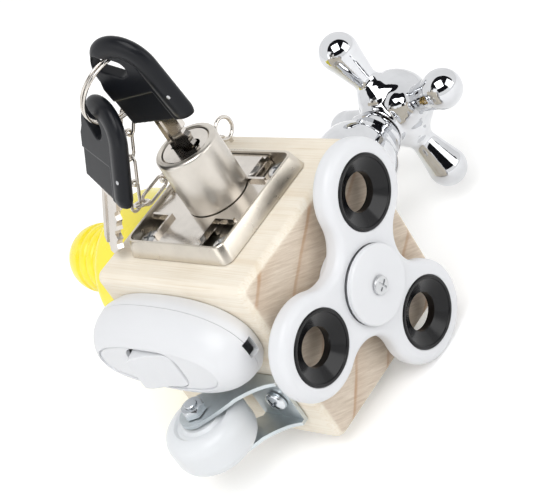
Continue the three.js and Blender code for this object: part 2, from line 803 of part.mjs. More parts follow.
function makeKeyBlade() {
  const left = -bladeOffset - bladeWidth / 2;
  const right = -bladeOffset + bladeWidth / 2;
  const tip = -bladeReach;
  const stem = new THREE.Shape();
  stem.moveTo(right, -headBelowRivet);
  stem.lineTo(left, -headBelowRivet);
  stem.lineTo(left, tip + bladePointLength);
  stem.lineTo(-bladeOffset - bladeWidth / 6, tip);
  stem.lineTo(-bladeOffset + bladeWidth / 6, tip);
  bladeCutShares.forEach((share, i) => {
    const middle = tip + bladePointLength + bladeCutPitch * (i + 0.5);
    stem.lineTo(right, middle - bladeCutPitch / 2);
    stem.lineTo(right - bladeCutDepth * share, middle - bladeCutPitch / 6);
    stem.lineTo(right - bladeCutDepth * share, middle + bladeCutPitch / 6);
  });
  stem.lineTo(right, tip + bladePointLength + bladeCutPitch * bladeCutShares.length);
  stem.closePath();
  const bar = keySlab(stem, bladeThickness);
  const tang = keySlab(bladeOutline(0), bladeThickness);
  const grooveLength = bladeReach - headBelowRivet;
  const grooveZ = -headBelowRivet - cutOverrun - grooveLength / 2;
  const grooveX = -bladeOffset - bladeWidth / 5;
  const grooveY = bladeThickness / 2;
  const depth = 2 * bladeGrooveDepth;
  const front = box(bladeGrooveWidth, depth, grooveLength, grooveX, -grooveY, grooveZ);
  const back = box(bladeGrooveWidth, depth, grooveLength, grooveX, grooveY, grooveZ);
  const rivetHole = rod(rivetRadius + seatGap, -headRimThickness, headRimThickness).rotateX(Math.PI / 2);
  return cut(join(bar, tang), front, back, rivetHole);
}

function makeRivet() {
  return rod(rivetRadius, -headRimThickness / 2, headRimThickness / 2, smallSteps).rotateX(Math.PI / 2);
}

// A key's group is placed at its rivet, with its blade straight down; the head leans in it
function addKey(number, matrix) {
  const lean = headLeans[number - 1];
  const group = new THREE.Group();
  matrix.decompose(group.position, group.quaternion, group.scale);
  busyBlock.add(group);
  const head = add(group, `key_${number}_head`, makeKeyHead(lean), blackPlastic);
  head.rotation.y = -lean;
  add(group, `key_${number}_blade`, makeKeyBlade(), nickel);
  add(group, `key_${number}_rivet`, makeRivet(), nickel);
}

const plugTop = blockEdge + cylinderTop - plugBelowTop;
const firstKeyPlace = new THREE.Vector3(bladeOffset, 0, 0)
  .applyAxisAngle(new THREE.Vector3(0, 0, 1), keyTurn)
  .add(new THREE.Vector3(lockAxisX, lockAxisY, plugTop + keyShowing));
addKey(1, new THREE.Matrix4().makeRotationZ(keyTurn).setPosition(firstKeyPlace));

// Key ring: a wire wound nearly twice round, crossing over between its two turns

const ringUp = ringUpward.addScaledVector(ringOutward, -ringUpward.dot(ringOutward)).normalize();
const ringAxis = new THREE.Vector3().crossVectors(ringOutward, ringUp);
const ringThroughFirst = new THREE.Vector3(ringInFirstKey[0], 0, ringInFirstKey[1])
  .applyAxisAngle(new THREE.Vector3(0, 1, 0), -headLeans[0])
  .applyAxisAngle(new THREE.Vector3(0, 0, 1), keyTurn)
  .add(firstKeyPlace);
const ringCentre = ringThroughFirst.clone().sub(ringOffset(ringKeyAngle));

function ringOffset(angle) {
  return new THREE.Vector3()
    .addScaledVector(ringOutward, ringRadius * Math.cos(angle))
    .addScaledVector(ringUp, ringRadius * Math.sin(angle));
}

function makeKeyRing() {
  const path = [];
  const start = Math.PI / 2 + ringEndAngle;
  const end = start + 4 * Math.PI - 2 * ringEndAngle;
  const steps = 3 * roundSteps / 2;
  for (let i = 0; i <= steps; i += 1) {
    const angle = start + (end - start) * i / steps;
    const crossing = (angle - (start + end) / 2) / ringEndAngle;
    const lift = ringTurnPitch / 2 * THREE.MathUtils.clamp(crossing, -1, 1);
    path.push(ringCentre.clone().add(ringOffset(angle)).addScaledVector(ringAxis, lift));
  }
  return sweep(path, ringWireRadius, { up: ringAxis });
}

add(busyBlock, 'key_ring', makeKeyRing(), nickel);

const secondHeadTurn = new THREE.Quaternion()
  .setFromAxisAngle(secondKeyTurn.clone().normalize(), secondKeyTurn.length());
const secondHole = new THREE.Vector3(ringInSecondKey[0], 0, ringInSecondKey[1]);
const secondLean = new THREE.Quaternion().setFromAxisAngle(new THREE.Vector3(0, 1, 0), headLeans[1]);
const secondKeyMatrix = new THREE.Matrix4().compose(
  ringCentre.clone().add(ringOffset(-ringKeyAngle)).sub(secondHole.applyQuaternion(secondHeadTurn)),
  secondHeadTurn.clone().multiply(secondLean),
  new THREE.Vector3(1, 1, 1),
);
addKey(2, secondKeyMatrix);

// Chain: oval links, each turned a quarter from the last, from the key ring to a screw eye

function makeLink(from, to, sideways, halfWidth) {
  const along = to.clone().sub(from);
  const halfStraight = along.length() / 2 - halfWidth;
  along.normalize();
  const side = new THREE.Vector3().crossVectors(along, sideways).cross(along).normalize();
  const normal = new THREE.Vector3().crossVectors(along, side);
  const middle = from.clone().add(to).multiplyScalar(0.5);
  const path = [];
  const steps = smallSteps / 2;
  for (let end = 0; end < 2; end += 1) {
    for (let i = 0; i < steps; i += 1) {
      const angle = end * Math.PI + Math.PI * (i / (steps - 1) - 0.5);
      const reach = halfStraight * (end === 0 ? 1 : -1) + halfWidth * Math.cos(angle);
      path.push(middle.clone()
        .addScaledVector(along, reach)
        .addScaledVector(side, halfWidth * Math.sin(angle)));
    }
  }
  return sweep(path, chainWireRadius, { closed: true, up: normal });
}

// How far past a meeting point the wire of a link lies. Where the chain turns its corner, the hanging
// link takes both shares and holds the lying link's end inside it.
const linkReach = chainWireRadius + seatGap / 2;
const ringReach = ringWireRadius + chainWireRadius + 2 * seatGap;
const eyeReach = eyeWireRadius + chainWireRadius + 2 * seatGap;

const eyeCentre = new THREE.Vector3(eyeX, eyeY, blockEdge + eyeNeck + eyeLoopRadius);
const eyeContact = eyeCentre.clone().add(new THREE.Vector3(0, -eyeLoopRadius, 0));
const ringContact = ringCentre.clone().add(ringOffset(ringChainAngle));
const cornerPoint = new THREE.Vector3(...chainCorner);
const hangRise = ringContact.clone().sub(cornerPoint);
const hangPoints = chainHangShares.map((shares) => new THREE.Vector3(...shares).multiply(hangRise).add(cornerPoint));
const lyingPoints = chainLyingJoins.map((place) => new THREE.Vector3(...place));
const chainJoins = [...hangPoints, cornerPoint, ...lyingPoints];
const chainPoints = [ringContact, ...chainJoins, eyeContact];
const chainCornerJoin = hangPoints.length + 1;

const acrossX = new THREE.Vector3(1, 0, 0);
const acrossY = new THREE.Vector3(0, 1, 0);
const upright = new THREE.Vector3(0, 0, 1);
const linkSides = [ringAxis, acrossY, acrossX, acrossY, acrossX, upright, acrossX, upright, acrossX];

function startReach(join) {
  if (join === 0) return ringReach;
  return join === chainCornerJoin ? 0 : linkReach;
}

function endReach(join) {
  if (join === linkSides.length) return eyeReach;
  return join === chainCornerJoin ? 2 * linkReach : linkReach;
}

linkSides.forEach((sideways, i) => {
  const along = chainPoints[i + 1].clone().sub(chainPoints[i]).normalize();
  const from = chainPoints[i].clone().addScaledVector(along, -startReach(i));
  const to = chainPoints[i + 1].clone().addScaledVector(along, endReach(i + 1));
  const halfWidth = i === 0 ? ringLinkHalfWidth : chainLinkHalfWidth;
  add(busyBlock, `chain_link_${i + 1}`, makeLink(from, to, sideways, halfWidth), nickel);
});

function makeChainEye() {
  const loop = new THREE.TorusGeometry(eyeLoopRadius, eyeWireRadius, tubeSides, smallSteps)
    .rotateX(Math.PI / 2)
    .rotateZ(Math.PI / 2)
    .translate(0, 0, eyeNeck + eyeLoopRadius);
  const shank = revolve([
    [0, -eyeShankLength],
    [eyeWireRadius, 2 * eyeWireRadius - eyeShankLength],
    [eyeWireRadius, eyeNeck + eyeWireRadius / 2],
    [0, eyeNeck + eyeWireRadius / 2],
  ], tubeSides);
  return join(shank, loop);
}

const eye = groupOn('top', eyeX, eyeY);
add(eye, 'chain_eye', makeChainEye(), nickel);
drill('top', eyeX, eyeY, eyeWireRadius, eyeShankLength);

// Spinner: three-lobed body with rings, on a ball bearing held by two caps and a screw

const spinnerBodyFront = spinnerBodyBack + spinnerBodyThickness;
const bearingMiddle = (spinnerBodyBack + spinnerBodyFront) / 2;
const lobeAngles = [0, 1, 2].map((i) => spinnerTurn + Math.PI / 3 + i * 2 * Math.PI / 3);

// Radius and centre distance of the hollow arc that runs smoothly from lobe to lobe
function valleyArc() {
  const top = lobeDistance ** 2 + valleyDistance ** 2 - lobeDistance * valleyDistance - lobeRadius ** 2;
  const radius = top / (2 * lobeRadius + lobeDistance - 2 * valleyDistance);
  return { radius, distance: valleyDistance + radius };
}

function spinnerOutline() {
  const shape = new THREE.Shape();
  const valley = valleyArc();
  for (const angle of lobeAngles) {
    const lobe = new THREE.Vector2(lobeDistance * Math.cos(angle), lobeDistance * Math.sin(angle));
    const next = angle + Math.PI / 3;
    const before = angle - Math.PI / 3;
    const hollow = new THREE.Vector2(valley.distance * Math.cos(next), valley.distance * Math.sin(next));
    const last = new THREE.Vector2(valley.distance * Math.cos(before), valley.distance * Math.sin(before));
    const fromAngle = last.clone().sub(lobe).angle();
    const toAngle = hollow.clone().sub(lobe).angle();
    shape.absarc(lobe.x, lobe.y, lobeRadius, fromAngle, toAngle, false);
    const afterLobe = new THREE.Vector2(lobeDistance * Math.cos(angle + 2 * Math.PI / 3),
      lobeDistance * Math.sin(angle + 2 * Math.PI / 3));
    const endAngle = afterLobe.sub(hollow).angle();
    shape.absarc(hollow.x, hollow.y, valley.radius, toAngle + Math.PI, endAngle, true);
  }
  shape.closePath();
  return shape;
}

function makeSpinnerBody() {
  const options = {
    depth: spinnerBodyThickness - 2 * spinnerEdge,
    bevelThickness: spinnerEdge,
    bevelSize: spinnerEdge,
    bevelOffset: -spinnerEdge,
    bevelSegments: filletSteps,
    curveSegments: lobeSteps,
  };
  const body = new THREE.ExtrudeGeometry(spinnerOutline(), options)
    .translate(0, 0, spinnerBodyBack + spinnerEdge);
  const from = spinnerBodyBack - cutOverrun;
  const to = spinnerBodyFront + cutOverrun;
  const holes = lobeAngles.map((angle) => rod(ringOuterRadius + seatGap, from, to, roundSteps)
    .translate(lobeDistance * Math.cos(angle), lobeDistance * Math.sin(angle), 0));
  return cut(body, rod(bearingOuterRadius + seatGap, from, to, roundSteps), ...holes);
}

function makeSpinnerRing() {
  const half = spinnerBodyThickness / 2 + ringProud;
  const lip = ringProud;
  const throat = half / 3;
  return revolve([
    [ringBoreRadius, -throat],
    [ringMouthRadius, lip - half],
    [ringMouthRadius + lip, -half],
    [ringOuterRadius - lip, -half],
    [ringOuterRadius, lip - half],
    [ringOuterRadius, half - lip],
    [ringOuterRadius - lip, half],
    [ringMouthRadius + lip, half],
    [ringMouthRadius, half - lip],
    [ringBoreRadius, throat],
    [ringBoreRadius, -throat],
  ]);
}

function bearingRace(inner, outer) {
  return tubeBetween(inner, outer, -bearingWidth / 2, bearingWidth / 2);
}

// Ball cage: a ring with seven balls set in it
function makeBearingCage() {
  const pitch = (bearingOuterRadius - raceThickness + bearingBoreRadius + raceThickness) / 2;
  const ring = tubeBetween(pitch - cageThickness / 2, pitch + cageThickness / 2,
    -cageThickness / 2, cageThickness / 2, 2 * bearingBallCount);
  const balls = [];
  for (let i = 0; i < bearingBallCount; i += 1) {
    const angle = 2 * Math.PI * i / bearingBallCount;
    const ball = new THREE.SphereGeometry(bearingBallRadius, ballSteps, ballSteps / 2 + 1);
    balls.push(ball.translate(pitch * Math.cos(angle), pitch * Math.sin(angle), 0));
  }
  return join(ring, ...balls);
}

// A cap: outer plate, then a boss towards the inner race, then a spigot in its bore
function makeCap(bossHeight) {
  const spigot = bossHeight + bearingWidth / 2 - seatGap / 2;
  const bore = spinnerScrewShank + seatGap;
  return revolve([
    [bore, -spigot],
    [capSpigotRadius, -spigot],
    [capSpigotRadius, -bossHeight],
    [capBossRadius, -bossHeight],
    [capBossRadius, 0],
    [capRadius, 0],
    ...arcPoints(capRadius - capEdge, capThickness - capEdge, capEdge, 0, Math.PI / 2),
    [bore, capThickness],
    [bore, -spigot],
  ]);
}

const bearingProud = (bearingWidth - spinnerBodyThickness) / 2;
const frontCapSeat = spinnerBodyFront + bearingProud + 2 * seatGap;
const backCapSeat = capThickness + seatGap;

const spinner = groupOn('right', 0, spinnerUp);
add(spinner, 'spinner_body', makeSpinnerBody(), whitePlastic);
lobeAngles.forEach((angle, i) => {
  const mesh = add(spinner, `spinner_ring_${i + 1}`, makeSpinnerRing(), glossBlack);
  mesh.position.set(lobeDistance * Math.cos(angle), lobeDistance * Math.sin(angle), bearingMiddle);
});
const outerRace = bearingRace(bearingOuterRadius - raceThickness, bearingOuterRadius);
const innerRace = bearingRace(bearingBoreRadius, bearingBoreRadius + raceThickness);
add(spinner, 'spinner_bearing_outer', outerRace, steel).position.z = bearingMiddle;
add(spinner, 'spinner_bearing_inner', innerRace, steel).position.z = bearingMiddle;
add(spinner, 'spinner_bearing_cage', makeBearingCage(), steel).position.z = bearingMiddle;
const frontCap = add(spinner, 'spinner_front_cap', makeCap(seatGap), whitePlastic);
frontCap.position.z = frontCapSeat;
const backBoss = spinnerBodyBack - bearingProud - seatGap - backCapSeat;
const backCap = add(spinner, 'spinner_back_cap', makeCap(backBoss), whitePlastic);
backCap.position.z = backCapSeat;
backCap.rotation.x = Math.PI;
const spinnerScrewSeat = frontCapSeat + capThickness + seatGap;
const spinnerScrewGeometry = screw(spinnerScrewHead, spinnerScrewHeadHeight, spinnerScrewShank,
  spinnerScrewLength);
add(spinner, 'spinner_screw', spinnerScrewGeometry, steel).position.z = spinnerScrewSeat;
drill('right', 0, spinnerUp, spinnerScrewShank, spinnerScrewLength - spinnerScrewSeat);

// Rocker switch: base, cover, rocker and two fixing screws

const rockerFloor = seatGap + switchWall;

// Length, width and height of each level of the cover, from the seam to the panel
function switchLevels() {
  const rise = switchHeight - switchSeam;
  const shrinkShares = [0, 0.05, 0.24, 0.58, 0.88, 1];
  const riseShares = [0, 0.25, 0.55, 0.82, 0.96, 1];
  return shrinkShares.map((share, i) => [
    switchLength + (switchPanelLength - switchLength) * share,
    switchWidth + (switchPanelWidth - switchWidth) * share,
    switchSeam + rise * riseShares[i],
  ]);
}

function switchLoop(length, width, height, inset = 0) {
  return ovalLoop(length - 2 * inset, width - 2 * inset, height, switchOvalPower, roundSteps);
}

function rockerOutline(grow) {
  return roundedRectangle(2 * (rockerRadius + grow), rockerWidth + 2 * grow, rockerCornerRadius);
}

function makeSwitchBase() {
  const [footLength, footWidth] = [switchLength * switchFootShare, switchWidth * switchFootShare];
  const outer = loft([
    switchLoop(footLength, footWidth, seatGap),
    switchLoop(switchLength, switchWidth, switchSeam * switchFlareShare),
    switchLoop(switchLength, switchWidth, switchSeam - seatGap / 2),
  ]);
  const inner = loft([
    switchLoop(footLength, footWidth, rockerFloor, switchWall),
    switchLoop(switchLength, switchWidth, switchSeam + cutOverrun, switchWall),
  ]);
  const shell = cut(outer, inner);
  const postWidth = 2 * (trunnionRadius + switchWall);
  const postTop = rockerAxisHeight - trunnionRadius / 2;
  const postHeight = postTop - rockerFloor + switchWall / 2;
  const postMiddle = postTop - postHeight / 2;
  const postY = rockerWidth / 2 + seatGap + trunnionLength / 2;
  const seat = rod(trunnionRadius + seatGap, -switchWidth / 2, switchWidth / 2)
    .rotateX(Math.PI / 2)
    .translate(0, 0, rockerAxisHeight);
  const posts = [-1, 1].map((side) => (
    box(postWidth, trunnionLength, postHeight, 0, side * postY, postMiddle)
  ));
  const holes = switchScrewPlaces().map((across) => (
    rod(switchScrewShank + seatGap, 0, rockerFloor + cutOverrun).translate(across, 0, 0)
  ));
  return cut(join(shell, ...posts), seat, cordHoleTool(), ...holes);
}

function switchScrewPlaces() {
  const reach = switchLength / 2 - switchScrewInset;
  return [-reach, reach];
}

function cordHoleTool() {
  const reach = 4 * switchWall;
  const middle = switchSeam + cordHoleAboveSeam;
  return box(reach, cordHoleWidth, cordHoleHeight, switchLength / 2, cordHoleAside, middle);
}

function makeSwitchCover() {
  const levels = switchLevels();
  const loops = levels.map(([length, width, height]) => switchLoop(length, width, height));
  loops[0].forEach((point) => { point.z += seatGap / 2; });
  const panelInset = 2 * switchPanelStep;
  loops.push(switchLoop(switchPanelLength, switchPanelWidth, switchHeight, panelInset / 2));
  loops.push(switchLoop(switchPanelLength, switchPanelWidth, switchHeight - switchPanelStep, panelInset));
  const inner = [switchLoop(switchLength, switchWidth, switchSeam - cutOverrun, switchWall)];
  levels.slice(1).forEach(([length, width, height]) => {
    inner.push(switchLoop(length, width, height - switchWall, switchWall));
  });
  const floor = rockerAxisHeight - rockerCornerRadius;
  const window = slab(rockerOutline(rockerGap), floor, switchHeight + cutOverrun);
  return cut(loft(loops), loft(inner), window, cordHoleTool());
}

// Rocker: a shallow V on top, cut to a barrel about its pivot, with a stub at each side
function makeRocker() {
  const side = new THREE.Shape();
  side.moveTo(-rockerRadius, -trunnionRadius);
  side.lineTo(rockerRadius, -trunnionRadius);
  side.lineTo(rockerRadius, rockerRise);
  side.lineTo(0, rockerDip);
  side.lineTo(-rockerRadius, rockerRise);
  side.closePath();
  const depth = rockerWidth / 2 + cutOverrun;
  const prism = slab(side, -depth, depth).rotateX(Math.PI / 2);
  const outline = slab(rockerOutline(0), -rockerRise, 2 * rockerRise);
  const barrel = rod(rockerRadius, -depth, depth, 2 * roundSteps).rotateX(Math.PI / 2);
  const body = common(common(prism, outline), barrel);
  const stubReach = rockerWidth / 2 + seatGap + trunnionLength;
  return join(body, rod(trunnionRadius, -stubReach, stubReach).rotateX(Math.PI / 2));
}

const rockerSwitch = groupOn('front', switchAcross, switchUp);
add(rockerSwitch, 'switch_base', makeSwitchBase(), whitePlastic);
add(rockerSwitch, 'switch_cover', makeSwitchCover(), whitePlastic);
const rocker = add(rockerSwitch, 'switch_rocker', makeRocker(), whitePlastic);
rocker.position.z = rockerAxisHeight;
rocker.rotation.y = rockerTilt;
switchScrewPlaces().forEach((across, i) => {
  const geometry = screw(switchScrewHead, switchScrewHeadHeight, switchScrewShank, switchScrewLength);
  const mesh = add(rockerSwitch, `switch_screw_${i + 1}`, geometry, steel);
  mesh.position.set(across, 0, rockerFloor + seatGap);
  drill('front', switchAcross + across, switchUp, switchScrewShank, switchScrewLength);
});

// Caster: folded fork held by one screw, wheel on a bolt with a nut

const forkFloor = seatGap + forkSheet;
const axleX = -casterTrail;
const forkBack = forkLength - forkFront;

// Side of the fork, drawn in the plane of the arm: along the trail and out of the face
function armOutline() {
  const shape = new THREE.Shape();
  const out = axleOut + seatGap;
  const boss = axleBossRadius;
  shape.moveTo(forkFront, seatGap);
  shape.lineTo(forkFront, seatGap + 2 * forkSheet);
  shape.quadraticCurveTo(0, out / 4, axleX / 3, out * armWaistShare);
  const bossStart = [axleX + boss * Math.cos(armBossStart), out + boss * Math.sin(armBossStart)];
  shape.quadraticCurveTo(axleX / 2, out * armShoulderShare, ...bossStart);
  shape.absarc(axleX, out, boss, armBossStart, armBossEnd, false);
  shape.quadraticCurveTo(axleX - boss / 2, out * armHeelShare, -forkBack, seatGap + 2 * forkSheet);
  shape.lineTo(-forkBack, seatGap);
  shape.closePath();
  return shape;
}

function makeCasterFork() {
  const plateMiddle = forkFront - forkLength / 2;
  const plate = box(forkLength, forkWidth, forkSheet, plateMiddle, 0, seatGap + forkSheet / 2);
  const arms = [-1, 1].map((side) => {
    const arm = slab(armOutline(), -forkSheet / 2, forkSheet / 2, smallSteps / 2);
    return arm.rotateX(Math.PI / 2).translate(0, side * (forkWidth - forkSheet) / 2, 0);
  });
  const screwHole = rod(casterScrewShank + seatGap, -cutOverrun, forkFloor + cutOverrun);
  const axleHole = rod(axleRadius + seatGap, -forkWidth, forkWidth).rotateX(Math.PI / 2)
    .translate(axleX, 0, axleOut + seatGap);
  return cut(join(plate, ...arms), screwHole, axleHole);
}

function makeCasterWheel() {
  const half = wheelWidth / 2;
  const bore = axleRadius + seatGap;
  const centre = wheelRadius - wheelShoulder;
  return revolve([
    [bore, -half],
    [wheelHubRadius - wheelDish, -half],
    [wheelHubRadius, wheelDish - half],
    [centre - wheelDish, wheelDish - half],
    ...arcPoints(centre, wheelShoulder - half, wheelShoulder, -Math.PI / 2, 0),
    ...arcPoints(centre, half - wheelShoulder, wheelShoulder, 0, Math.PI / 2),
    [centre - wheelDish, half - wheelDish],
    [wheelHubRadius, half - wheelDish],
    [wheelHubRadius - wheelDish, half],
    [bore, half],
    [bore, -half],
  ]);
}

// Axle bolt with a low round head below and its threaded end above
function makeAxleBolt() {
  const half = forkWidth / 2;
  const head = half + seatGap;
  return revolve([
    [0, -head - axleHeadHeight],
    [axleHeadRadius * axleCrownShare, -head - axleHeadHeight],
    [axleHeadRadius, -head - axleHeadHeight * axleEdgeShare],
    [axleHeadRadius, -head],
    [axleRadius, -head],
    [axleRadius, half + 2 * seatGap + axleNutHeight + axlePastNut],
    [0, half + 2 * seatGap + axleNutHeight + axlePastNut],
  ], smallSteps);
}

function makeAxleNut() {
  const hexagon = new THREE.CylinderGeometry(axleNutRadius, axleNutRadius, axleNutHeight, 6)
    .rotateX(Math.PI / 2);
  const chamfer = revolve([
    [0, -axleNutHeight],
    [axleNutRadius * nutClearShare, -axleNutHeight],
    [axleNutRadius * nutClearShare, 0],
    [axleNutRadius * nutFaceShare, axleNutHeight / 2],
    [0, axleNutHeight / 2],
  ]);
  const bore = rod(axleRadius + seatGap, -axleNutHeight, axleNutHeight);
  return cut(common(hexagon, chamfer), bore);
}

const caster = groupOn('front', casterAcross, casterUp);
add(caster, 'caster_fork', makeCasterFork(), zinc);
const axle = new THREE.Group();
axle.position.set(axleX, 0, axleOut + seatGap);
axle.rotation.x = -Math.PI / 2;
caster.add(axle);
add(axle, 'caster_wheel', makeCasterWheel(), nylon);
add(axle, 'caster_axle_bolt', makeAxleBolt(), zinc);
const axleNut = add(axle, 'caster_axle_nut', makeAxleNut(), zinc);
axleNut.position.z = forkWidth / 2 + seatGap + axleNutHeight / 2;
const casterScrewGeometry = screw(casterScrewHead, casterScrewHeadHeight, casterScrewShank, casterScrewLength);
add(caster, 'caster_screw', casterScrewGeometry, zinc).position.z = forkFloor + seatGap;
drill('front', casterAcross, casterUp, casterScrewShank, casterScrewLength);

// Tap: bonnet, stem with a threaded root in the wood, and a four-armed ball handle

function makeBonnet() {
  const bead = bonnetBead;
  const bore = stemNeckRadius + seatGap;
  const dome = [];
  for (let i = 0; i <= filletSteps + 1; i += 1) {
    const angle = Math.PI / 2 * i / (filletSteps + 1);
    const radius = bonnetCollarRadius + (bonnetRadius - bonnetCollarRadius) * Math.cos(angle);
    dome.push([radius, bonnetShoulder + bonnetDomeHeight * Math.sin(angle)]);
  }
  const collar = bonnetShoulder + bonnetDomeHeight;
  return revolve([
    [bore, seatGap],
    [bonnetFootRadius, seatGap],
    [bonnetFootRadius, seatGap + bead],
    [bonnetFootRadius - bead, seatGap + 2 * bead],
    [bonnetRadius, seatGap + 3 * bead],
    ...dome,
    [bonnetCollarRadius, collar + bead],
    [bonnetMouthRadius, collar + 1.5 * bead],
    [bonnetMouthRadius, collar + 2 * bead],
    [bonnetCollarRadius - bead / 2, collar + 2.5 * bead],
    [bonnetCollarRadius - bead / 2, collar + 3 * bead],
    [bonnetMouthRadius, bonnetLength],
    [bore, bonnetLength],
    [bore, seatGap],
  ]);
}

// Stem: root screwed into the wood, collar in the bonnet, thin end inside the handle
function makeStem() {
  const handleBack = handlePlane - handleHubBack - seatGap;
  const end = handlePlane + handleHubFront / 3;
  return revolve([
    [0, -stemRootLength],
    [stemRadius, stemRadius - stemRootLength],
    [stemRadius, seatGap],
    [stemNeckRadius, seatGap],
    [stemNeckRadius, handleBack],
    [stemHeadRadius, handleBack],
    [stemHeadRadius, end],
    [0, end],
  ], smallSteps);
}

function handleHub() {
  return revolve([
    [0, -handleHubBack],
    [handleNeckRadius, -handleHubBack],
    ...hubBackShares.map(([across, down]) => [handleHubRadius * across, -handleHubBack * down]),
    ...hubFrontShares.map(([across, up]) => [handleHubRadius * across, handleHubFront * up]),
  ]);
}

// One arm along +X: flared from the hub, thin at the waist, with a ball at its end
function handleArm() {
  const points = [
    [0, 0],
    ...armRootShares.map(([across, out]) => [handleHubRadius * across, handleHubRadius * out]),
    ...armWaistShares.map(([across, out]) => [handleWaistRadius * across, handleWaistReach * out]),
    ...arcPoints(0, handleReach, handleBallRadius, handleBallStart, Math.PI / 2, ballArcSteps),
  ];
  points[points.length - 1][0] = 0;
  return revolve(points, armSteps).rotateY(Math.PI / 2);
}

function makeTapHandle() {
  const arms = [];
  for (let i = 0; i < handleArms; i += 1) {
    arms.push(handleArm().rotateZ(handleTurn + i * 2 * Math.PI / handleArms));
  }
  const bore = rod(stemHeadRadius + seatGap, -handleHubBack - cutOverrun, handleHubFront / 3 + seatGap);
  return cut(join(handleHub(), ...arms), bore);
}

const tap = groupOn('back', 0, tapUp);
add(tap, 'tap_bonnet', makeBonnet(), chrome);
add(tap, 'tap_stem', makeStem(), brass);
add(tap, 'tap_handle', makeTapHandle(), chrome).position.z = handlePlane;
drill('back', 0, tapUp, stemRadius, stemRootLength);

// Ringed knob: base plate with two screws, hollow drum, knob and retaining clip

const drumFloor = seatGap + drumPlateThickness + seatGap;

function makeDrumPlate() {
  const radius = drumRadius - drumWall - seatGap;
  const plate = rod(radius, seatGap, seatGap + drumPlateThickness, roundSteps);
  const holes = [-1, 1].map((side) => (
    rod(switchScrewShank + seatGap, 0, drumFloor + cutOverrun).translate(side * drumPlateScrewRadius, 0, 0)
  ));
  return cut(plate, ...holes);
}

function makeDrum() {
  const inner = drumRadius - drumWall;
  const hole = knobStemRadius + seatGap;
  const innerEdge = drumEdge - drumWall;
  return revolve([
    [inner, seatGap],
    [drumRadius, seatGap],
    ...arcPoints(drumRadius - drumEdge, drumLength - drumEdge, drumEdge, 0, Math.PI / 2),
    [hole, drumLength],
    [hole, drumLength - drumWall],
    ...arcPoints(inner - innerEdge, drumLength - drumWall - innerEdge, innerEdge, Math.PI / 2, 0),
    [inner, seatGap],
  ]);
}

function makeKnob() {
  const face = drumLength + seatGap;
  const inside = drumLength - knobStemInside;
  const groove = knobRadius - knobRingDepth;
  const points = [[0, inside], [knobStemRadius, inside], [knobStemRadius, face], [groove, face]];
  const pitch = (knobBallCentre - face) / knobRingCount;
  for (let i = 0; i < knobRingCount; i += 1) {
    const from = face + i * pitch;
    knobRingShares.forEach(([inward, along]) => {
      points.push([knobRadius - knobRingDepth * inward, from + pitch * along]);
    });
  }
  points.push(...arcPoints(0, knobBallCentre, knobRadius, knobBallStart, Math.PI / 2, ballArcSteps));
  points[points.length - 1][0] = 0;
  return revolve(points);
}

function makeKnobClip() {
  const top = drumLength - drumWall - seatGap;
  return tubeBetween(knobStemRadius + seatGap, knobClipRadius, top - knobClipThickness, top);
}

const knobGroup = groupOn('left', 0, knobUp);
add(knobGroup, 'drum_base_plate', makeDrumPlate(), yellowPlastic);
add(knobGroup, 'drum', makeDrum(), yellowPlastic);
add(knobGroup, 'knob', makeKnob(), yellowPlastic);
add(knobGroup, 'knob_clip', makeKnobClip(), steel);
[-1, 1].forEach((side, i) => {
  const geometry = screw(switchScrewHead, switchScrewHeadHeight, switchScrewShank, switchScrewLength);
  const mesh = add(knobGroup, `drum_screw_${i + 1}`, geometry, steel);
  mesh.position.set(side * drumPlateScrewRadius, 0, drumFloor);
  drill('left', side * drumPlateScrewRadius, knobUp, switchScrewShank, switchScrewLength);
});

// Wooden cube, cut for every screw

const cube = new RoundedBoxGeometry(blockEdge, blockEdge, blockEdge, filletSteps, blockRounding)
  .translate(0, 0, blockEdge / 2);
add(busyBlock, 'wood_block', cut(cube, ...pilotHoles), pine);

export default busyBlock;
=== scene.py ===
# Sensory busy block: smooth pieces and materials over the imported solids, with studio light and camera.
# Each fitting is drawn in millimetres on its own face of the cube until its pieces are finished, and the
# materials, floor, lights and camera are in metres.

import bmesh
import bpy
from math import asin, atan2, copysign, cos, pi, radians, sin
from mathutils import Matrix, Quaternion, Vector


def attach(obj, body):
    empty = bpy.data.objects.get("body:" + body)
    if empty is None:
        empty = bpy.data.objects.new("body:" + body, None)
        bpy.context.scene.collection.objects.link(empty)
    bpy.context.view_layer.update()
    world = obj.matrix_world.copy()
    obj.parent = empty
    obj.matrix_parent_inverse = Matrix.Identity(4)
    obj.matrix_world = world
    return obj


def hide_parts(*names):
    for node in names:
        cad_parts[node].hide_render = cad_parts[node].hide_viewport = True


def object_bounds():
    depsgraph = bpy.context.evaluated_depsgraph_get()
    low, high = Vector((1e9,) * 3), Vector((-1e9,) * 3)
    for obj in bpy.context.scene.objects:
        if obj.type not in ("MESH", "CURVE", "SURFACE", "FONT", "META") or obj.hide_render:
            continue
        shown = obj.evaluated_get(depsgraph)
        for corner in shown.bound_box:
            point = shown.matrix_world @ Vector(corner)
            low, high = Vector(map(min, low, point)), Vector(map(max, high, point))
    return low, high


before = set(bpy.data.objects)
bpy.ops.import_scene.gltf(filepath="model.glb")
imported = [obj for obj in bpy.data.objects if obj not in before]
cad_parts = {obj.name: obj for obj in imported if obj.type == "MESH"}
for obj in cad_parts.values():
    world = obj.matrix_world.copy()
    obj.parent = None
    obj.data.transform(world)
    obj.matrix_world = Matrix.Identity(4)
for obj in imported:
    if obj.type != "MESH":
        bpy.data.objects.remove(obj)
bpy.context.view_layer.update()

MM = 0.001
SEAT_GAP = 0.3
OVERRUN = 1
BLOCK = 60
STEPS, FINE_STEPS, SMALL_STEPS, TINY_STEPS = 96, 128, 48, 32
ON_AXIS, WELD = 1e-6, 0.0005


# Directions, moves and turns

def heading(angle, length=1):
    return Vector((length * cos(angle), length * sin(angle)))


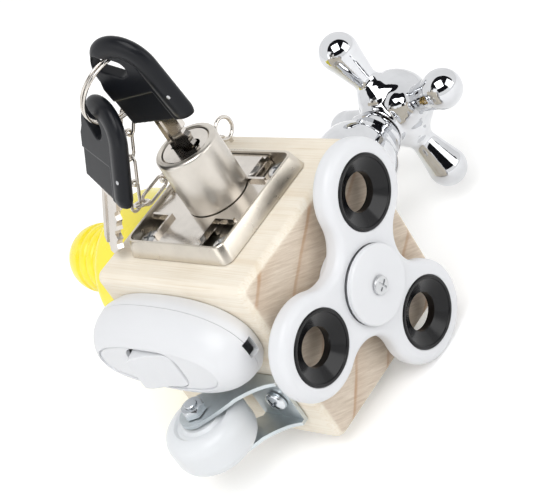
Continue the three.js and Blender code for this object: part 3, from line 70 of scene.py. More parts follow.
def shift(x=0, y=0, z=0):
    return Matrix.Translation((x, y, z))


def spin(angle, axis="Z"):
    return Matrix.Rotation(angle, 4, axis)


IN_PLACE = shift()


# Shapes: each is a pair of points, in millimetres, and faces

def revolve(profile, steps=STEPS):
    """A turned solid about +Z from (radius, height) points, listed from the bottom up."""
    closed = profile[0] == profile[-1]
    rows = profile[:-1] if closed else profile
    points, row_points = [], []
    for radius, height in rows:
        if radius < ON_AXIS:
            row_points.append([len(points)] * steps)
            points.append(Vector((0, 0, height)))
            continue
        row_points.append(list(range(len(points), len(points) + steps)))
        for i in range(steps):
            points.append(Vector((*heading(2 * pi * i / steps, radius), height)))
    faces = []
    for row in range(len(rows) if closed else len(rows) - 1):
        low, high = row_points[row], row_points[(row + 1) % len(rows)]
        for i in range(steps):
            k = (i + 1) % steps
            corners = list(dict.fromkeys([low[i], low[k], high[k], high[i]]))
            if len(corners) > 2:
                faces.append(corners)
    return points, faces


def mirrored(upper):
    """A whole profile from the half of it that lies above zero."""
    return [(radius, -height) for radius, height in upper[::-1]] + upper


def rod(radius, low, high, steps=STEPS):
    return revolve([(0, low), (radius, low), (radius, high), (0, high)], steps)


def box(width, depth, height, x=0, y=0, z=0):
    points = [Vector((x + a * width / 2, y + b * depth / 2, z + c * height / 2))
              for a in (-1, 1) for b in (-1, 1) for c in (-1, 1)]
    faces = [(0, 1, 3, 2), (4, 6, 7, 5), (0, 4, 5, 1), (2, 3, 7, 6), (0, 2, 6, 4), (1, 5, 7, 3)]
    return points, faces


def loft(loops):
    """A solid skinned over closed loops of equally many points, with a flat face at each end."""
    count = len(loops[0])
    points = [point for loop in loops for point in loop]
    faces = []
    for ring in range(len(loops) - 1):
        for i in range(count):
            a = ring * count + i
            b = ring * count + (i + 1) % count
            faces.append((a, b, b + count, a + count))
    faces.append(tuple(range(count))[::-1])
    last = (len(loops) - 1) * count
    faces.append(tuple(range(last, last + count)))
    return points, faces


def level(outline, height):
    return [Vector((x, y, height)) for x, y in outline]


def slab(outline, low, high):
    return loft([level(outline, low), level(outline, high)])


def sweep(path, half_width, up, half_depth=None, closed=False, sides=16, scales=None):
    """A round or oval bar along a path; scales shrinks it at chosen points."""
    half_depth = half_depth or half_width
    count = len(path)
    loops = []
    for i, point in enumerate(path):
        if closed:
            tangent = path[(i + 1) % count] - path[i - 1]
        else:
            tangent = path[min(i + 1, count - 1)] - path[max(i - 1, 0)]
        tangent.normalize()
        side = tangent.cross(up).normalized()
        over = side.cross(tangent).normalized()
        scale = scales[i] if scales else 1
        loop = []
        for k in range(sides):
            angle = 2 * pi * k / sides
            across, out = half_width * scale * cos(angle), half_depth * scale * sin(angle)
            loop.append(point + side * across + over * out)
        loops.append(loop)
    if not closed:
        return loft(loops)
    points = [point for loop in loops for point in loop]
    faces = []
    for i in range(count):
        row, next_row = i * sides, (i + 1) % count * sides
        for k in range(sides):
            m = (k + 1) % sides
            faces.append((row + k, row + m, next_row + m, next_row + k))
    return points, faces


def arc(centre_x, centre_y, radius, start, end, steps=12):
    return [(centre_x + radius * cos(start + (end - start) * i / steps),
             centre_y + radius * sin(start + (end - start) * i / steps)) for i in range(steps + 1)]


def quarter(centre_radius, centre_height, radius, start=0.0, end=pi / 2):
    return arc(centre_radius, centre_height, radius, start, end, 8)


def rounded_rectangle(width, depth, radius, x=0, y=0, steps=10):
    points = []
    for corner, (a, b) in enumerate(((1, 1), (-1, 1), (-1, -1), (1, -1))):
        start = corner * pi / 2
        centre = (x + a * (width / 2 - radius), y + b * (depth / 2 - radius))
        points += arc(*centre, radius, start, start + pi / 2, steps)
    return points


def quadratic(start, control, end, steps=16):
    """Points after the start of a quadratic curve."""
    points = []
    for i in range(1, steps + 1):
        t = i / steps
        points.append(tuple((1 - t) ** 2 * s + 2 * t * (1 - t) * c + t * t * e
                            for s, c, e in zip(start, control, end)))
    return points


def smooth_table(rows, between=5):
    """Rows of numbers joined by a smooth curve through them, with steps between each pair."""
    points = []
    for i in range(len(rows) - 1):
        before, start = rows[max(i - 1, 0)], rows[i]
        end, after = rows[i + 1], rows[min(i + 2, len(rows) - 1)]
        for k in range(between):
            t = k / between
            points.append(tuple(
                0.5 * (2 * b + (c - a) * t + (2 * a - 5 * b + 4 * c - d) * t * t
                       + (3 * b - a - 3 * c + d) * t ** 3)
                for a, b, c, d in zip(before, start, end, after)))
    points.append(tuple(rows[-1]))
    return points


def oval_loop(length, width, height, power, steps=STEPS):
    loop = []
    for i in range(steps):
        angle = 2 * pi * i / steps
        x, y = (copysign(abs(share) ** (2 / power) * size / 2, share)
                for share, size in ((cos(angle), length), (sin(angle), width)))
        loop.append(Vector((x, y, height)))
    return loop


def moved(shape, matrix):
    points, faces = shape
    return [matrix @ point for point in points], faces


def turned(shape, axis, angle):
    return moved(shape, spin(angle, axis))


# Faces of the cube, by the way each one looks

FACES = {"top": (0, 0, 1), "right": (1, 0, 0), "front": (0, -1, 0), "back": (0, 1, 0), "left": (-1, 0, 0)}


def on_face(face, across, up):
    """A frame on a face, with +Z out of the face and, on a side face, +Y up."""
    z = Vector(FACES[face])
    y = Vector((0, 1, 0)) if face == "top" else Vector((0, 0, 1))
    x = y.cross(z)
    middle = (z + Vector((0, 0, 1))) * BLOCK / 2
    matrix = Matrix((x, y, z)).transposed().to_4x4()
    matrix.translation = middle + x * across + y * up
    return matrix


# Pieces

def mesh_object(name, shape):
    points, faces = shape
    mesh = bpy.data.meshes.new(name)
    mesh.from_pydata([tuple(point) for point in points], [], [tuple(face) for face in faces])
    work = bmesh.new()
    work.from_mesh(mesh)
    bmesh.ops.remove_doubles(work, verts=work.verts, dist=WELD)
    bmesh.ops.recalc_face_normals(work, faces=work.faces)
    work.to_mesh(mesh)
    work.free()
    piece = bpy.data.objects.new(name, mesh)
    bpy.context.scene.collection.objects.link(piece)
    return piece


def apply_modifiers(piece):
    graph = bpy.context.evaluated_depsgraph_get()
    mesh = bpy.data.meshes.new_from_object(piece.evaluated_get(graph))
    piece.modifiers.clear()
    piece.data = mesh


def combine(piece, shapes, operation="DIFFERENCE"):
    """Cuts the shapes from a piece, or joins them to it."""
    for i, shape in enumerate(shapes):
        tool = mesh_object(f"tool_{i}", shape)
        modifier = piece.modifiers.new("combine", "BOOLEAN")
        modifier.operation = operation
        modifier.solver = "EXACT"
        modifier.object = tool
        apply_modifiers(piece)
        bpy.data.objects.remove(tool)


def soften(piece, voxel, rounds):
    """Remeshes a piece evenly and smooths it, so that every edge is a small fillet."""
    remesh = piece.modifiers.new("remesh", "REMESH")
    remesh.mode = "VOXEL"
    remesh.voxel_size = voxel
    smooth = piece.modifiers.new("smooth", "SMOOTH")
    smooth.factor = 0.5
    smooth.iterations = rounds
    apply_modifiers(piece)


def bevel(piece, width, segments=3, angle=30):
    modifier = piece.modifiers.new("bevel", "BEVEL")
    modifier.width = width
    modifier.segments = segments
    modifier.limit_method = "ANGLE"
    modifier.angle_limit = radians(angle)
    apply_modifiers(piece)


def finish_piece(piece, place, finish, body, nodes, crease=35):
    """Puts a piece in its place in metres with the material of a (material, slot) finish, on its body, for
    its solids.
    """
    material, slot = finish
    piece.data.transform(Matrix.Scale(MM, 4) @ place)
    piece.data.materials.clear()
    piece.data.materials.append(material)
    piece.data.shade_smooth()
    piece.data.set_sharp_from_angle(angle=radians(crease))
    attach(piece, body)
    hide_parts(*nodes)


def add_piece(name, shape, place, finish, body, nodes, crease=35):
    """A piece that is one shape, with nothing cut from it or joined to it."""
    finish_piece(mesh_object(name, shape), place, finish, body, nodes, crease)


# Materials, with linear colours. A noise has its marks per metre, detail, roughness and turn, and a remap
# its low and high results and the values that give them.

STAIN_MARKS, STAIN_SHADE, STAIN_STOPS = 90.0, 0.86, (0.35, 0.6)
SCRATCH_DETAIL, SCRATCH_ROUGHNESS, SCRATCH_STRENGTH = 6.0, 0.6, 0.3
TONE_MARKS, TONE_STOPS, TONE_ROUGHENING = 60.0, (0.3, 0.65), 1.25
GRAIN_STRENGTH, COAT_ROUGHNESS = 0.25, 0.08
SCATTER_REACH, SCATTER_SCALE = 0.004, 0.5


def new_material(name):
    material = bpy.data.materials.new(name)
    material.use_nodes = True
    return material, material.node_tree


def feed(tree, socket, value):
    """Links a node's output to a socket, or sets the socket to a plain value."""
    if isinstance(value, bpy.types.NodeSocket):
        tree.links.new(value, socket)
    elif socket.type == "RGBA":
        socket.default_value = (*value, 1)
    else:
        socket.default_value = value


def set_shader(tree, inputs):
    for name, value in inputs.items():
        feed(tree, tree.nodes["Principled BSDF"].inputs[name], value)


def add_node(tree, kind, output, inputs=None, **settings):
    node = tree.nodes.new("ShaderNode" + kind)
    for setting, value in settings.items():
        setattr(node, setting, value)
    for name, value in (inputs or {}).items():
        feed(tree, node.inputs[name], value)
    return node.outputs[output]


def noise(tree, marks, detail=3.0, roughness=0.55, turn=0.0):
    """Noise over the object, stretched along its axes after a turn about its own X axis."""
    place = add_node(tree, "TexCoord", "Object")
    place = add_node(tree, "Mapping", "Vector", {"Vector": place, "Rotation": (turn, 0, 0)})
    scale = marks if isinstance(marks, tuple) else (marks, marks, marks)
    place = add_node(tree, "Mapping", "Vector", {"Vector": place, "Scale": scale})
    inputs = {"Vector": place, "Scale": 1.0, "Detail": detail, "Roughness": roughness}
    return add_node(tree, "TexNoise", "Fac", inputs)


def remap(tree, value, low, high, from_low=0.3, from_high=0.7):
    return add_node(tree, "MapRange", "Result", {
        "Value": value, "From Min": from_low, "From Max": from_high, "To Min": low, "To Max": high})


def ramp(tree, value, stops):
    colour = add_node(tree, "ValToRGB", "Color", {"Fac": value})
    elements = colour.node.color_ramp.elements
    for element, (position, tone) in zip(elements, (stops[0], stops[-1])):
        element.position, element.color = position, (*tone, 1)
    for position, tone in stops[1:-1]:
        elements.new(position).color = (*tone, 1)
    return colour


def maths(tree, operation, first, second=0.0):
    return add_node(tree, "Math", "Value", {0: first, 1: second}, operation=operation)


def mix(tree, kind, factor, first, second):
    inputs = {"Factor": factor, 6: first, 7: second}
    return add_node(tree, "Mix", 2, inputs, data_type="RGBA", blend_type=kind)


def bump(tree, height, distance, strength):
    inputs = {"Height": height, "Distance": distance, "Strength": strength}
    return add_node(tree, "Bump", "Normal", inputs)


def metal(name, colour, roughness, streaks=(300, 300, 300), spread=0.06, mark=0.00001):
    """Plated metal: faint stains and fine scratches run the way the streaks are stretched."""
    material, tree = new_material(name)
    fine = noise(tree, streaks, SCRATCH_DETAIL, SCRATCH_ROUGHNESS)
    broad = noise(tree, STAIN_MARKS)
    stained = tuple(value * STAIN_SHADE for value in colour)
    set_shader(tree, {
        "Metallic": 1.0,
        "Base Color": ramp(tree, broad, list(zip(STAIN_STOPS, (stained, colour)))),
        "Roughness": maths(tree, "ADD", remap(tree, fine, roughness, roughness + spread),
                           remap(tree, broad, 0.0, spread / 2)),
        "Normal": bump(tree, fine, mark, SCRATCH_STRENGTH),
    })
    return material


def plastic(name, colour, roughness, grain, depth, coat, shade, scatter=0.0, gloss=0.5):
    """Moulded plastic: slight unevenness in tone, roughness and surface."""
    material, tree = new_material(name)
    fine = noise(tree, grain)
    broad = noise(tree, TONE_MARKS)
    shaded = tuple(value * shade for value in colour)
    set_shader(tree, {
        "Base Color": ramp(tree, broad, list(zip(TONE_STOPS, (shaded, colour)))),
        "Roughness": remap(tree, broad, roughness, roughness * TONE_ROUGHENING),
        "Specular IOR Level": gloss,
        "Coat Weight": coat,
        "Coat Roughness": COAT_ROUGHNESS,
        "Subsurface Weight": scatter,
        "Subsurface Radius": (SCATTER_REACH, SCATTER_REACH, SCATTER_REACH),
        "Subsurface Scale": SCATTER_SCALE,
        "Normal": bump(tree, fine, depth, GRAIN_STRENGTH),
    })
    return material


RING_HEART = (0.100, -0.110)
RING_PITCH, RING_START, RING_WARP = 0.0137, 0.0046, 0.004
RING_WARPING, RING_PATCHES, RING_PATCH_RANGE = ((8, 40, 40), 2.0), ((12, 60, 60), 2.0), (0.35, 1.0)
RING_GREYS = [(0.0, 0.1), (0.1, 0.0), (0.6, 0.05), (0.88, 0.3), (0.93, 1.0), (0.97, 1.0), (1.0, 0.1)]
END_RAGGED_MARKS, END_RAGGED_SHARE, END_FACING = 900.0, 0.1, (0.0, 1.0, 0.86, 0.98)
FIBRES, PORES = ((40, 2200, 2200), 5.0, 0.6), ((900, 3200, 3200), 4.0, 0.7)
SAW_LINES = ((50, 110, 1500), 4.0, 0.65, radians(31))
SIDE_STOPS = [(0.25, (0.77, 0.67, 0.51)), (0.45, (0.88, 0.81, 0.69)), (0.7, (0.93, 0.88, 0.78))]
SIDE_STREAK_MARKS, SIDE_STREAK_RANGE = (14, 420, 420), (0.0, 0.35, 0.5, 0.7)
SIDE_RING_SHARE, SIDE_RING = 0.45, (0.72, 0.58, 0.40)
END_STOPS = [(0.32, (0.58, 0.48, 0.38)), (0.5, (0.69, 0.59, 0.48)), (0.68, (0.78, 0.69, 0.58))]
END_PORE_RANGE, END_RING_SHARE, END_RING = (0.0, 0.5, 0.5, 0.75), 0.75, (0.45, 0.24, 0.11)
CLOUD_MARKS, CLOUD_STOPS = 40.0, [(0.35, (0.92, 0.90, 0.87)), (0.65, (1, 1, 1))]
WOOD_ROUGHNESS, WOOD_BUMP, WOOD_BUMP_STRENGTH = (0.55, 0.72), 0.00012, 0.35


def ring_lines(tree):
    """Year rings round a heart outside the cube: a soft rise and a sharp late line in each pitch."""
    place = add_node(tree, "TexCoord", "Object")
    squares = []
    for axis, heart in zip("YZ", RING_HEART):
        side = maths(tree, "SUBTRACT", add_node(tree, "SeparateXYZ", axis, {"Vector": place}), heart)
        squares.append(maths(tree, "POWER", side, 2.0))
    warp = maths(tree, "MULTIPLY", noise(tree, *RING_WARPING), RING_WARP)
    radius = maths(tree, "ADD", maths(tree, "SQRT", maths(tree, "ADD", *squares)), warp)
    turn = maths(tree, "MULTIPLY", maths(tree, "SUBTRACT", radius, RING_START), 1 / RING_PITCH)
    line = ramp(tree, maths(tree, "FRACT", turn), [(at, (grey, grey, grey)) for at, grey in RING_GREYS])
    patches = remap(tree, noise(tree, *RING_PATCHES), *RING_PATCH_RANGE)
    return maths(tree, "MULTIPLY", line, patches)


def end_grain_share(tree):
    """1 on the two faces that cut across the fibres, and 0 on the others."""
    normal = add_node(tree, "NewGeometry", "Normal")
    normal = add_node(tree, "VectorTransform", "Vector", {"Vector": normal}, vector_type="NORMAL",
                      convert_from="WORLD", convert_to="OBJECT")
    facing = maths(tree, "ABSOLUTE", add_node(tree, "SeparateXYZ", "X", {"Vector": normal}))
    ragged = maths(tree, "MULTIPLY", noise(tree, END_RAGGED_MARKS), END_RAGGED_SHARE)
    return remap(tree, maths(tree, "ADD", facing, ragged), *END_FACING)


def wood(name):
    """Pale softwood: cream sides with fine lines along X, and tan sawn end grain with orange rings."""
    material, tree = new_material(name)
    rings = ring_lines(tree)
    end_grain = end_grain_share(tree)
    fibres, pores, saw_lines = (noise(tree, *marks) for marks in (FIBRES, PORES, SAW_LINES))
    streaks = remap(tree, noise(tree, SIDE_STREAK_MARKS), *SIDE_STREAK_RANGE)
    pore_share = remap(tree, pores, *END_PORE_RANGE)
    side = mix(tree, "MIX", streaks, ramp(tree, fibres, SIDE_STOPS), SIDE_STOPS[0][1])
    side = mix(tree, "MIX", maths(tree, "MULTIPLY", rings, SIDE_RING_SHARE), side, SIDE_RING)
    end = mix(tree, "MIX", pore_share, ramp(tree, saw_lines, END_STOPS), END_STOPS[0][1])
    end = mix(tree, "MIX", maths(tree, "MULTIPLY", rings, END_RING_SHARE), end, END_RING)
    tint = ramp(tree, noise(tree, CLOUD_MARKS), CLOUD_STOPS)
    sawn = maths(tree, "MULTIPLY", maths(tree, "ADD", pores, saw_lines), end_grain)
    set_shader(tree, {
        "Base Color": mix(tree, "MULTIPLY", 1.0, mix(tree, "MIX", end_grain, side, end), tint),
        "Roughness": remap(tree, fibres, *WOOD_ROUGHNESS),
        "Normal": bump(tree, maths(tree, "ADD", sawn, fibres), WOOD_BUMP, WOOD_BUMP_STRENGTH),
    })
    return material


PINE = (wood("pine"), "pine")
NICKEL = (metal("nickel", (0.70, 0.66, 0.61), 0.09), "nickel")
CASE_NICKEL = (metal("nickel_satin", (0.68, 0.63, 0.55), 0.24, (400, 400, 400), 0.08, 0.000006), "nickel")
CYLINDER_NICKEL = (metal("nickel_brushed", (0.70, 0.66, 0.60), 0.28, (500, 500, 60), 0.06, 0.000004),
                   "nickel")
STEEL = (metal("steel", (0.60, 0.61, 0.62), 0.26, (800, 800, 800), 0.1), "steel")
ZINC = (metal("zinc", (0.66, 0.71, 0.73), 0.32, (120, 600, 600), 0.12, 0.00002), "zinc")
BRIGHT_ZINC = (metal("bright_zinc", (0.74, 0.77, 0.80), 0.15, (400, 400, 400), 0.08), "zinc")
CHROME = (metal("chrome", (0.70, 0.71, 0.73), 0.025, (200, 200, 200), 0.015, 0.000003), "chrome")
BRASS = (metal("brass", (0.62, 0.42, 0.16), 0.22), "brass")

# Each plastic is named as its slot, with colour, roughness, grain marks, grain depth, coat, the shade of
# its darker parts, and where they differ from the usual, scatter and gloss
PLASTICS = {
    "black_plastic": ((0.008, 0.009, 0.012), 0.28, 2500.0, 0.00004, 0.0, 0.8, 0.0, 0.22),
    "gloss_black_plastic": ((0.004, 0.004, 0.005), 0.14, 600.0, 0.00001, 0.1, 0.8, 0.0, 0.25),
    "white_plastic": ((0.75, 0.76, 0.78), 0.36, 900.0, 0.000015, 0.05, 0.985),
    "nylon": ((0.74, 0.76, 0.78), 0.30, 700.0, 0.00003, 0.1, 0.97, 0.25),
    "yellow_plastic": ((0.97, 0.83, 0.05), 0.24, 800.0, 0.00002, 0.2, 0.97),
}
BLACK, GLOSS_BLACK, WHITE, NYLON, YELLOW = ((plastic(name, *looks), name) for name, looks in PLASTICS.items())


# Wooden cube

WOOD_ROUNDING = 3


def make_wood():
    piece = mesh_object("wood_cube", box(BLOCK, BLOCK, BLOCK, z=BLOCK / 2))
    bevel(piece, WOOD_ROUNDING, segments=8)
    finish_piece(piece, IN_PLACE, PINE, "block", ["wood_block"], crease=60)


make_wood()


# Drawer lock, measured from the axis of its cylinder

LOCK_X, LOCK_Y = 1, 0.7
CASE_X, CASE_Y = -1.5, -2.2
CASE_FOOT, CASE_RIM, CASE_HEIGHT = 40.5, 38, 5.5
CASE_WALL, CASE_CORNER = 0.9, 3
CASE_EDGE = 0.35
COVER_TOP = CASE_HEIGHT - 1
COVER_BOTTOM = COVER_TOP - 1
CYLINDER_RADIUS, CYLINDER_TOP, CYLINDER_EDGE = 9.35, 23, 1
SPIGOT_RADIUS = 8.4
PLUG_RADIUS, PLUG_GAP, PLUG_BELOW_TOP, PLUG_EDGE = 7.2, 0.25, 0.4, 0.25
KEYWAY_WIDTH, KEYWAY_THICKNESS, KEYWAY_DEPTH = 9.3, 2.6, 16
DRIVER_RADIUS = 1.2
BOLT_BOTTOM = SEAT_GAP + CASE_WALL + SEAT_GAP
BOLT_WIDTH, BOLT_THICKNESS, BOLT_TRAVEL = 16, 2, 8
PLUG_TURN = radians(90)
DRIVER_ORBIT = BOLT_TRAVEL / (2 * sin(PLUG_TURN / 2))
KEY_TURN = radians(5)
LOCK_SCREW_INSET, LOCK_SCREW_HEAD = 5.2, 3.2
LOCK_SCREW = (LOCK_SCREW_HEAD, 1.5, 1.5, 12)
LOCK_SCREW_TURNS = (20, 53, 86, 119)
SCREW_RIM_SHARE, SCREW_CROWN_SHARES, SCREW_EDGE_TURN = 0.3, (0.4, 0.96), pi * 0.4
RECESS_LENGTH_SHARE, RECESS_WIDTH_SHARE, RECESS_DEPTH_SHARE = 1.25, 0.24, 0.55


def square_loop(size, radius, height):
    return level(rounded_rectangle(size, size, radius, CASE_X, CASE_Y), height)


def make_case(place):
    inside = CASE_RIM - 2 * CASE_WALL
    corner = CASE_CORNER - CASE_WALL
    slope = (CASE_FOOT - CASE_RIM) * CASE_EDGE / CASE_HEIGHT
    rows = [
        (CASE_FOOT, CASE_CORNER, SEAT_GAP),
        (CASE_RIM + slope, CASE_CORNER, CASE_HEIGHT - CASE_EDGE),
        (CASE_RIM - CASE_EDGE / 2, CASE_CORNER, CASE_HEIGHT - CASE_EDGE / 4),
        (CASE_RIM - CASE_EDGE, CASE_CORNER, CASE_HEIGHT),
        (inside + CASE_EDGE, corner + CASE_EDGE / 2, CASE_HEIGHT),
        (inside + CASE_EDGE / 4, corner, CASE_HEIGHT - CASE_EDGE / 4),
        (inside, corner, CASE_HEIGHT - CASE_EDGE),
        (inside, corner, SEAT_GAP + CASE_WALL),
    ]
    piece = mesh_object("lock_case_shell", loft([square_loop(*row) for row in rows]))
    wall_y = CASE_Y + CASE_FOOT / 2 - CASE_WALL / 2
    combine(piece, [box(BOLT_WIDTH + 2 * SEAT_GAP, 8 * CASE_WALL, BOLT_THICKNESS + 2 * SEAT_GAP,
                        y=wall_y, z=BOLT_BOTTOM + BOLT_THICKNESS / 2)])
    finish_piece(piece, place, CASE_NICKEL, "block", ["lock_case"], crease=25)


def make_cylinder(place):
    bore = PLUG_RADIUS + PLUG_GAP
    foot = COVER_TOP + SEAT_GAP
    shape = revolve([
        (bore, COVER_BOTTOM), (SPIGOT_RADIUS, COVER_BOTTOM), (SPIGOT_RADIUS, foot), (CYLINDER_RADIUS, foot),
        *quarter(CYLINDER_RADIUS - CYLINDER_EDGE, CYLINDER_TOP - CYLINDER_EDGE, CYLINDER_EDGE),
        (bore + PLUG_EDGE, CYLINDER_TOP), (bore, CYLINDER_TOP - PLUG_EDGE), (bore, COVER_BOTTOM),
    ])
    add_piece("lock_barrel", shape, place, CYLINDER_NICKEL, "block", ["lock_cylinder"])


def make_plug(place):
    top = CYLINDER_TOP - PLUG_BELOW_TOP
    piece = mesh_object("lock_core", revolve([
        (0, COVER_BOTTOM), (PLUG_RADIUS, COVER_BOTTOM), (PLUG_RADIUS, top - PLUG_EDGE),
        (PLUG_RADIUS - PLUG_EDGE, top), (0, top),
    ]))
    depth = KEYWAY_DEPTH + OVERRUN
    keyway = box(KEYWAY_WIDTH, KEYWAY_THICKNESS, depth, z=top + OVERRUN - depth / 2)
    ward = moved(rod(KEYWAY_THICKNESS, top - KEYWAY_DEPTH / 4, top + OVERRUN, SMALL_STEPS),
                 shift(KEYWAY_WIDTH / 4))
    combine(piece, [keyway, ward])
    driver = moved(rod(DRIVER_RADIUS, BOLT_BOTTOM, COVER_BOTTOM + DRIVER_RADIUS, TINY_STEPS),
                   spin(-PLUG_TURN / 2 - KEY_TURN) @ shift(DRIVER_ORBIT))
    combine(piece, [driver], "UNION")
    finish_piece(piece, place @ spin(KEY_TURN), NICKEL, "plug", ["lock_plug"])


def add_screw(name, sizes, place, turn, finish, node):
    """A pan-head screw of (head radius, head height, shank radius, length), turned by some degrees."""
    head_radius, head_height, shank_radius, length = sizes
    edge, rim = head_height / 2, head_height * SCREW_RIM_SHARE
    crown_radius, crown_height = SCREW_CROWN_SHARES
    piece = mesh_object(name, revolve([
        (0, -length), (shank_radius, 2 * shank_radius - length), (shank_radius, 0), (head_radius, 0),
        (head_radius, rim), *quarter(head_radius - edge, rim, edge, 0, SCREW_EDGE_TURN),
        (head_radius * crown_radius, head_height * crown_height), (0, head_height),
    ], SMALL_STEPS))
    recess_length, recess_width = RECESS_LENGTH_SHARE * head_radius, RECESS_WIDTH_SHARE * head_radius
    recess_depth = RECESS_DEPTH_SHARE * head_height
    depth = recess_depth + OVERRUN
    middle = head_height - recess_depth + depth / 2
    combine(piece, [box(recess_length, recess_width, depth, z=middle),
                    box(recess_width, recess_length, depth, z=middle)])
    finish_piece(piece, place @ spin(radians(turn)), finish, "block", [node])


def make_lock():
    place = on_face("top", LOCK_X, LOCK_Y)
    make_case(place)
    make_cylinder(place)
    make_plug(place)
    reach = CASE_RIM / 2 - CASE_WALL - LOCK_SCREW_INSET + LOCK_SCREW_HEAD / 2
    corners = ((-1, -1), (1, -1), (1, 1), (-1, 1))
    for i, ((a, b), turn) in enumerate(zip(corners, LOCK_SCREW_TURNS), 1):
        seat = shift(CASE_X + a * reach, CASE_Y + b * reach, 2 * SEAT_GAP + CASE_WALL)
        add_screw(f"lock_pan_screw_{i}", LOCK_SCREW, place @ seat, turn, STEEL, f"lock_screw_{i}")


make_lock()


# Keys, in the plane of the head, measured from the rivet: across to the rim side, along to the far end

HEAD_ACROSS, HEAD_PAST_RIVET, HEAD_BELOW_RIVET, HEAD_ARC_ABOVE = 23.4, 2.6, 7.9, 9.7
HEAD_THICKNESS, HEAD_RIM_WIDTH, HEAD_RIM_THICKNESS = 3.5, 7, 4.5
HEAD_RIM_SWEEP = radians(150)
HEAD_END_SLOPE = 1.9
PANEL_RECESS, PANEL_ABOVE = 0.5, 2.6
RING_HOLE_RADIUS, RING_HOLE_HALF_LENGTH = 2.8, 5.6
RING_HOLE_ABOVE_ARC, RING_HOLE_ASIDE = 3.6, 3.3
RING_HOLE_TILT = radians(-33)
HEAD_LEANS = [radians(8), radians(5)]
BLADE_OFFSET, KEY_SHOWING = 7.8, 18.6
RIVET_RADIUS, RIVET_DOME, RIVET_CROWN_SHARE = 0.8, 0.25, 0.7
RIM_TAPER_SHARES, RIM_END_SHARE = (0.78, 0.93, 1), 0.72
HEAD_VOXEL, HEAD_SMOOTHING = 0.2, 5

HEAD_FLAT_SIDE = HEAD_PAST_RIVET - HEAD_ACROSS
HEAD_ARC_CENTRE = HEAD_PAST_RIVET - HEAD_ACROSS / 2
RIM_PATH_RADIUS = HEAD_ACROSS / 2 - HEAD_RIM_WIDTH / 2
RIM_PATH_ACROSS = HEAD_PAST_RIVET - HEAD_RIM_WIDTH / 2


def key_slab(outline, thickness):
    return turned(slab(outline, -thickness / 2, thickness / 2), "X", pi / 2)


def head_outline():
    radius = HEAD_ACROSS / 2 - HEAD_RIM_WIDTH / 6
    return [
        (RIM_PATH_ACROSS, -HEAD_BELOW_RIVET),
        *arc(HEAD_ARC_CENTRE, HEAD_ARC_ABOVE, radius, 0, pi, SMALL_STEPS),
        (HEAD_FLAT_SIDE, HEAD_ARC_ABOVE - radius / 4),
        (HEAD_FLAT_SIDE, HEAD_END_SLOPE - HEAD_BELOW_RIVET),
    ]


def head_rim():
    path, scales = [], []
    straight_steps, arc_steps = 16, 60
    for i in range(straight_steps):
        along = -HEAD_BELOW_RIVET + (HEAD_ARC_ABOVE + HEAD_BELOW_RIVET) * i / straight_steps
        path.append(Vector((RIM_PATH_ACROSS, 0, along)))
        scales.append(RIM_TAPER_SHARES[min(i, len(RIM_TAPER_SHARES) - 1)])
    for i in range(arc_steps + 1):
        angle = HEAD_RIM_SWEEP * i / arc_steps
        path.append(Vector((HEAD_ARC_CENTRE + RIM_PATH_RADIUS * cos(angle), 0,
                            HEAD_ARC_ABOVE + RIM_PATH_RADIUS * sin(angle))))
        left = min((arc_steps - i) / (arc_steps / 4), 1)
        scales.append(RIM_END_SHARE + (1 - RIM_END_SHARE) * sin(left * pi / 2))
    return sweep(path, HEAD_RIM_WIDTH / 2, Vector((0, 1, 0)), HEAD_RIM_THICKNESS / 2, sides=TINY_STEPS,
                 scales=scales)


def ring_hole():
    straight = RING_HOLE_HALF_LENGTH - RING_HOLE_RADIUS
    outline = (arc(straight, 0, RING_HOLE_RADIUS, -pi / 2, pi / 2, 20)
               + arc(-straight, 0, RING_HOLE_RADIUS, pi / 2, 3 * pi / 2, 20))
    seat = shift(HEAD_ARC_CENTRE - RING_HOLE_ASIDE, z=HEAD_ARC_ABOVE + RING_HOLE_ABOVE_ARC)
    return moved(turned(key_slab(outline, 2 * HEAD_RIM_THICKNESS), "Y", -RING_HOLE_TILT), seat)


def make_head(number, place):
    piece = mesh_object(f"key_{number}_grip", key_slab(head_outline(), HEAD_THICKNESS))
    width = HEAD_ACROSS - HEAD_RIM_WIDTH + OVERRUN
    height = PANEL_ABOVE + HEAD_BELOW_RIVET + OVERRUN
    x = HEAD_FLAT_SIDE - OVERRUN + width / 2
    z = PANEL_ABOVE - height / 2
    depth = HEAD_RIM_THICKNESS
    y = HEAD_THICKNESS / 2 - PANEL_RECESS + depth / 2
    combine(piece, [box(width, depth, height, x, -y, z), box(width, depth, height, x, y, z)])
    combine(piece, [head_rim()], "UNION")
    combine(piece, [ring_hole()])
    soften(piece, HEAD_VOXEL, HEAD_SMOOTHING)
    lean = spin(-HEAD_LEANS[number - 1], "Y")
    finish_piece(piece, place @ lean, BLACK, f"key_{number}", [f"key_{number}_head"], crease=60)


def make_rivet(number, place):
    half = HEAD_RIM_THICKNESS / 2
    upper = [(RIVET_RADIUS, half - RIVET_DOME), (RIVET_RADIUS * RIVET_CROWN_SHARE, half - RIVET_DOME / 3),
             (0, half)]
    shape = revolve(mirrored(upper), TINY_STEPS)
    add_piece(f"key_{number}_pin", turned(shape, "X", pi / 2), place, STEEL, f"key_{number}",
              [f"key_{number}_rivet"])


FIRST_KEY_PLACE = (spin(KEY_TURN) @ Vector((BLADE_OFFSET, 0, 0))
                   + Vector((LOCK_X, LOCK_Y, BLOCK + CYLINDER_TOP - PLUG_BELOW_TOP + KEY_SHOWING)))
FIRST_KEY = shift(*FIRST_KEY_PLACE) @ spin(KEY_TURN)


# Key ring and the second key that hangs from it

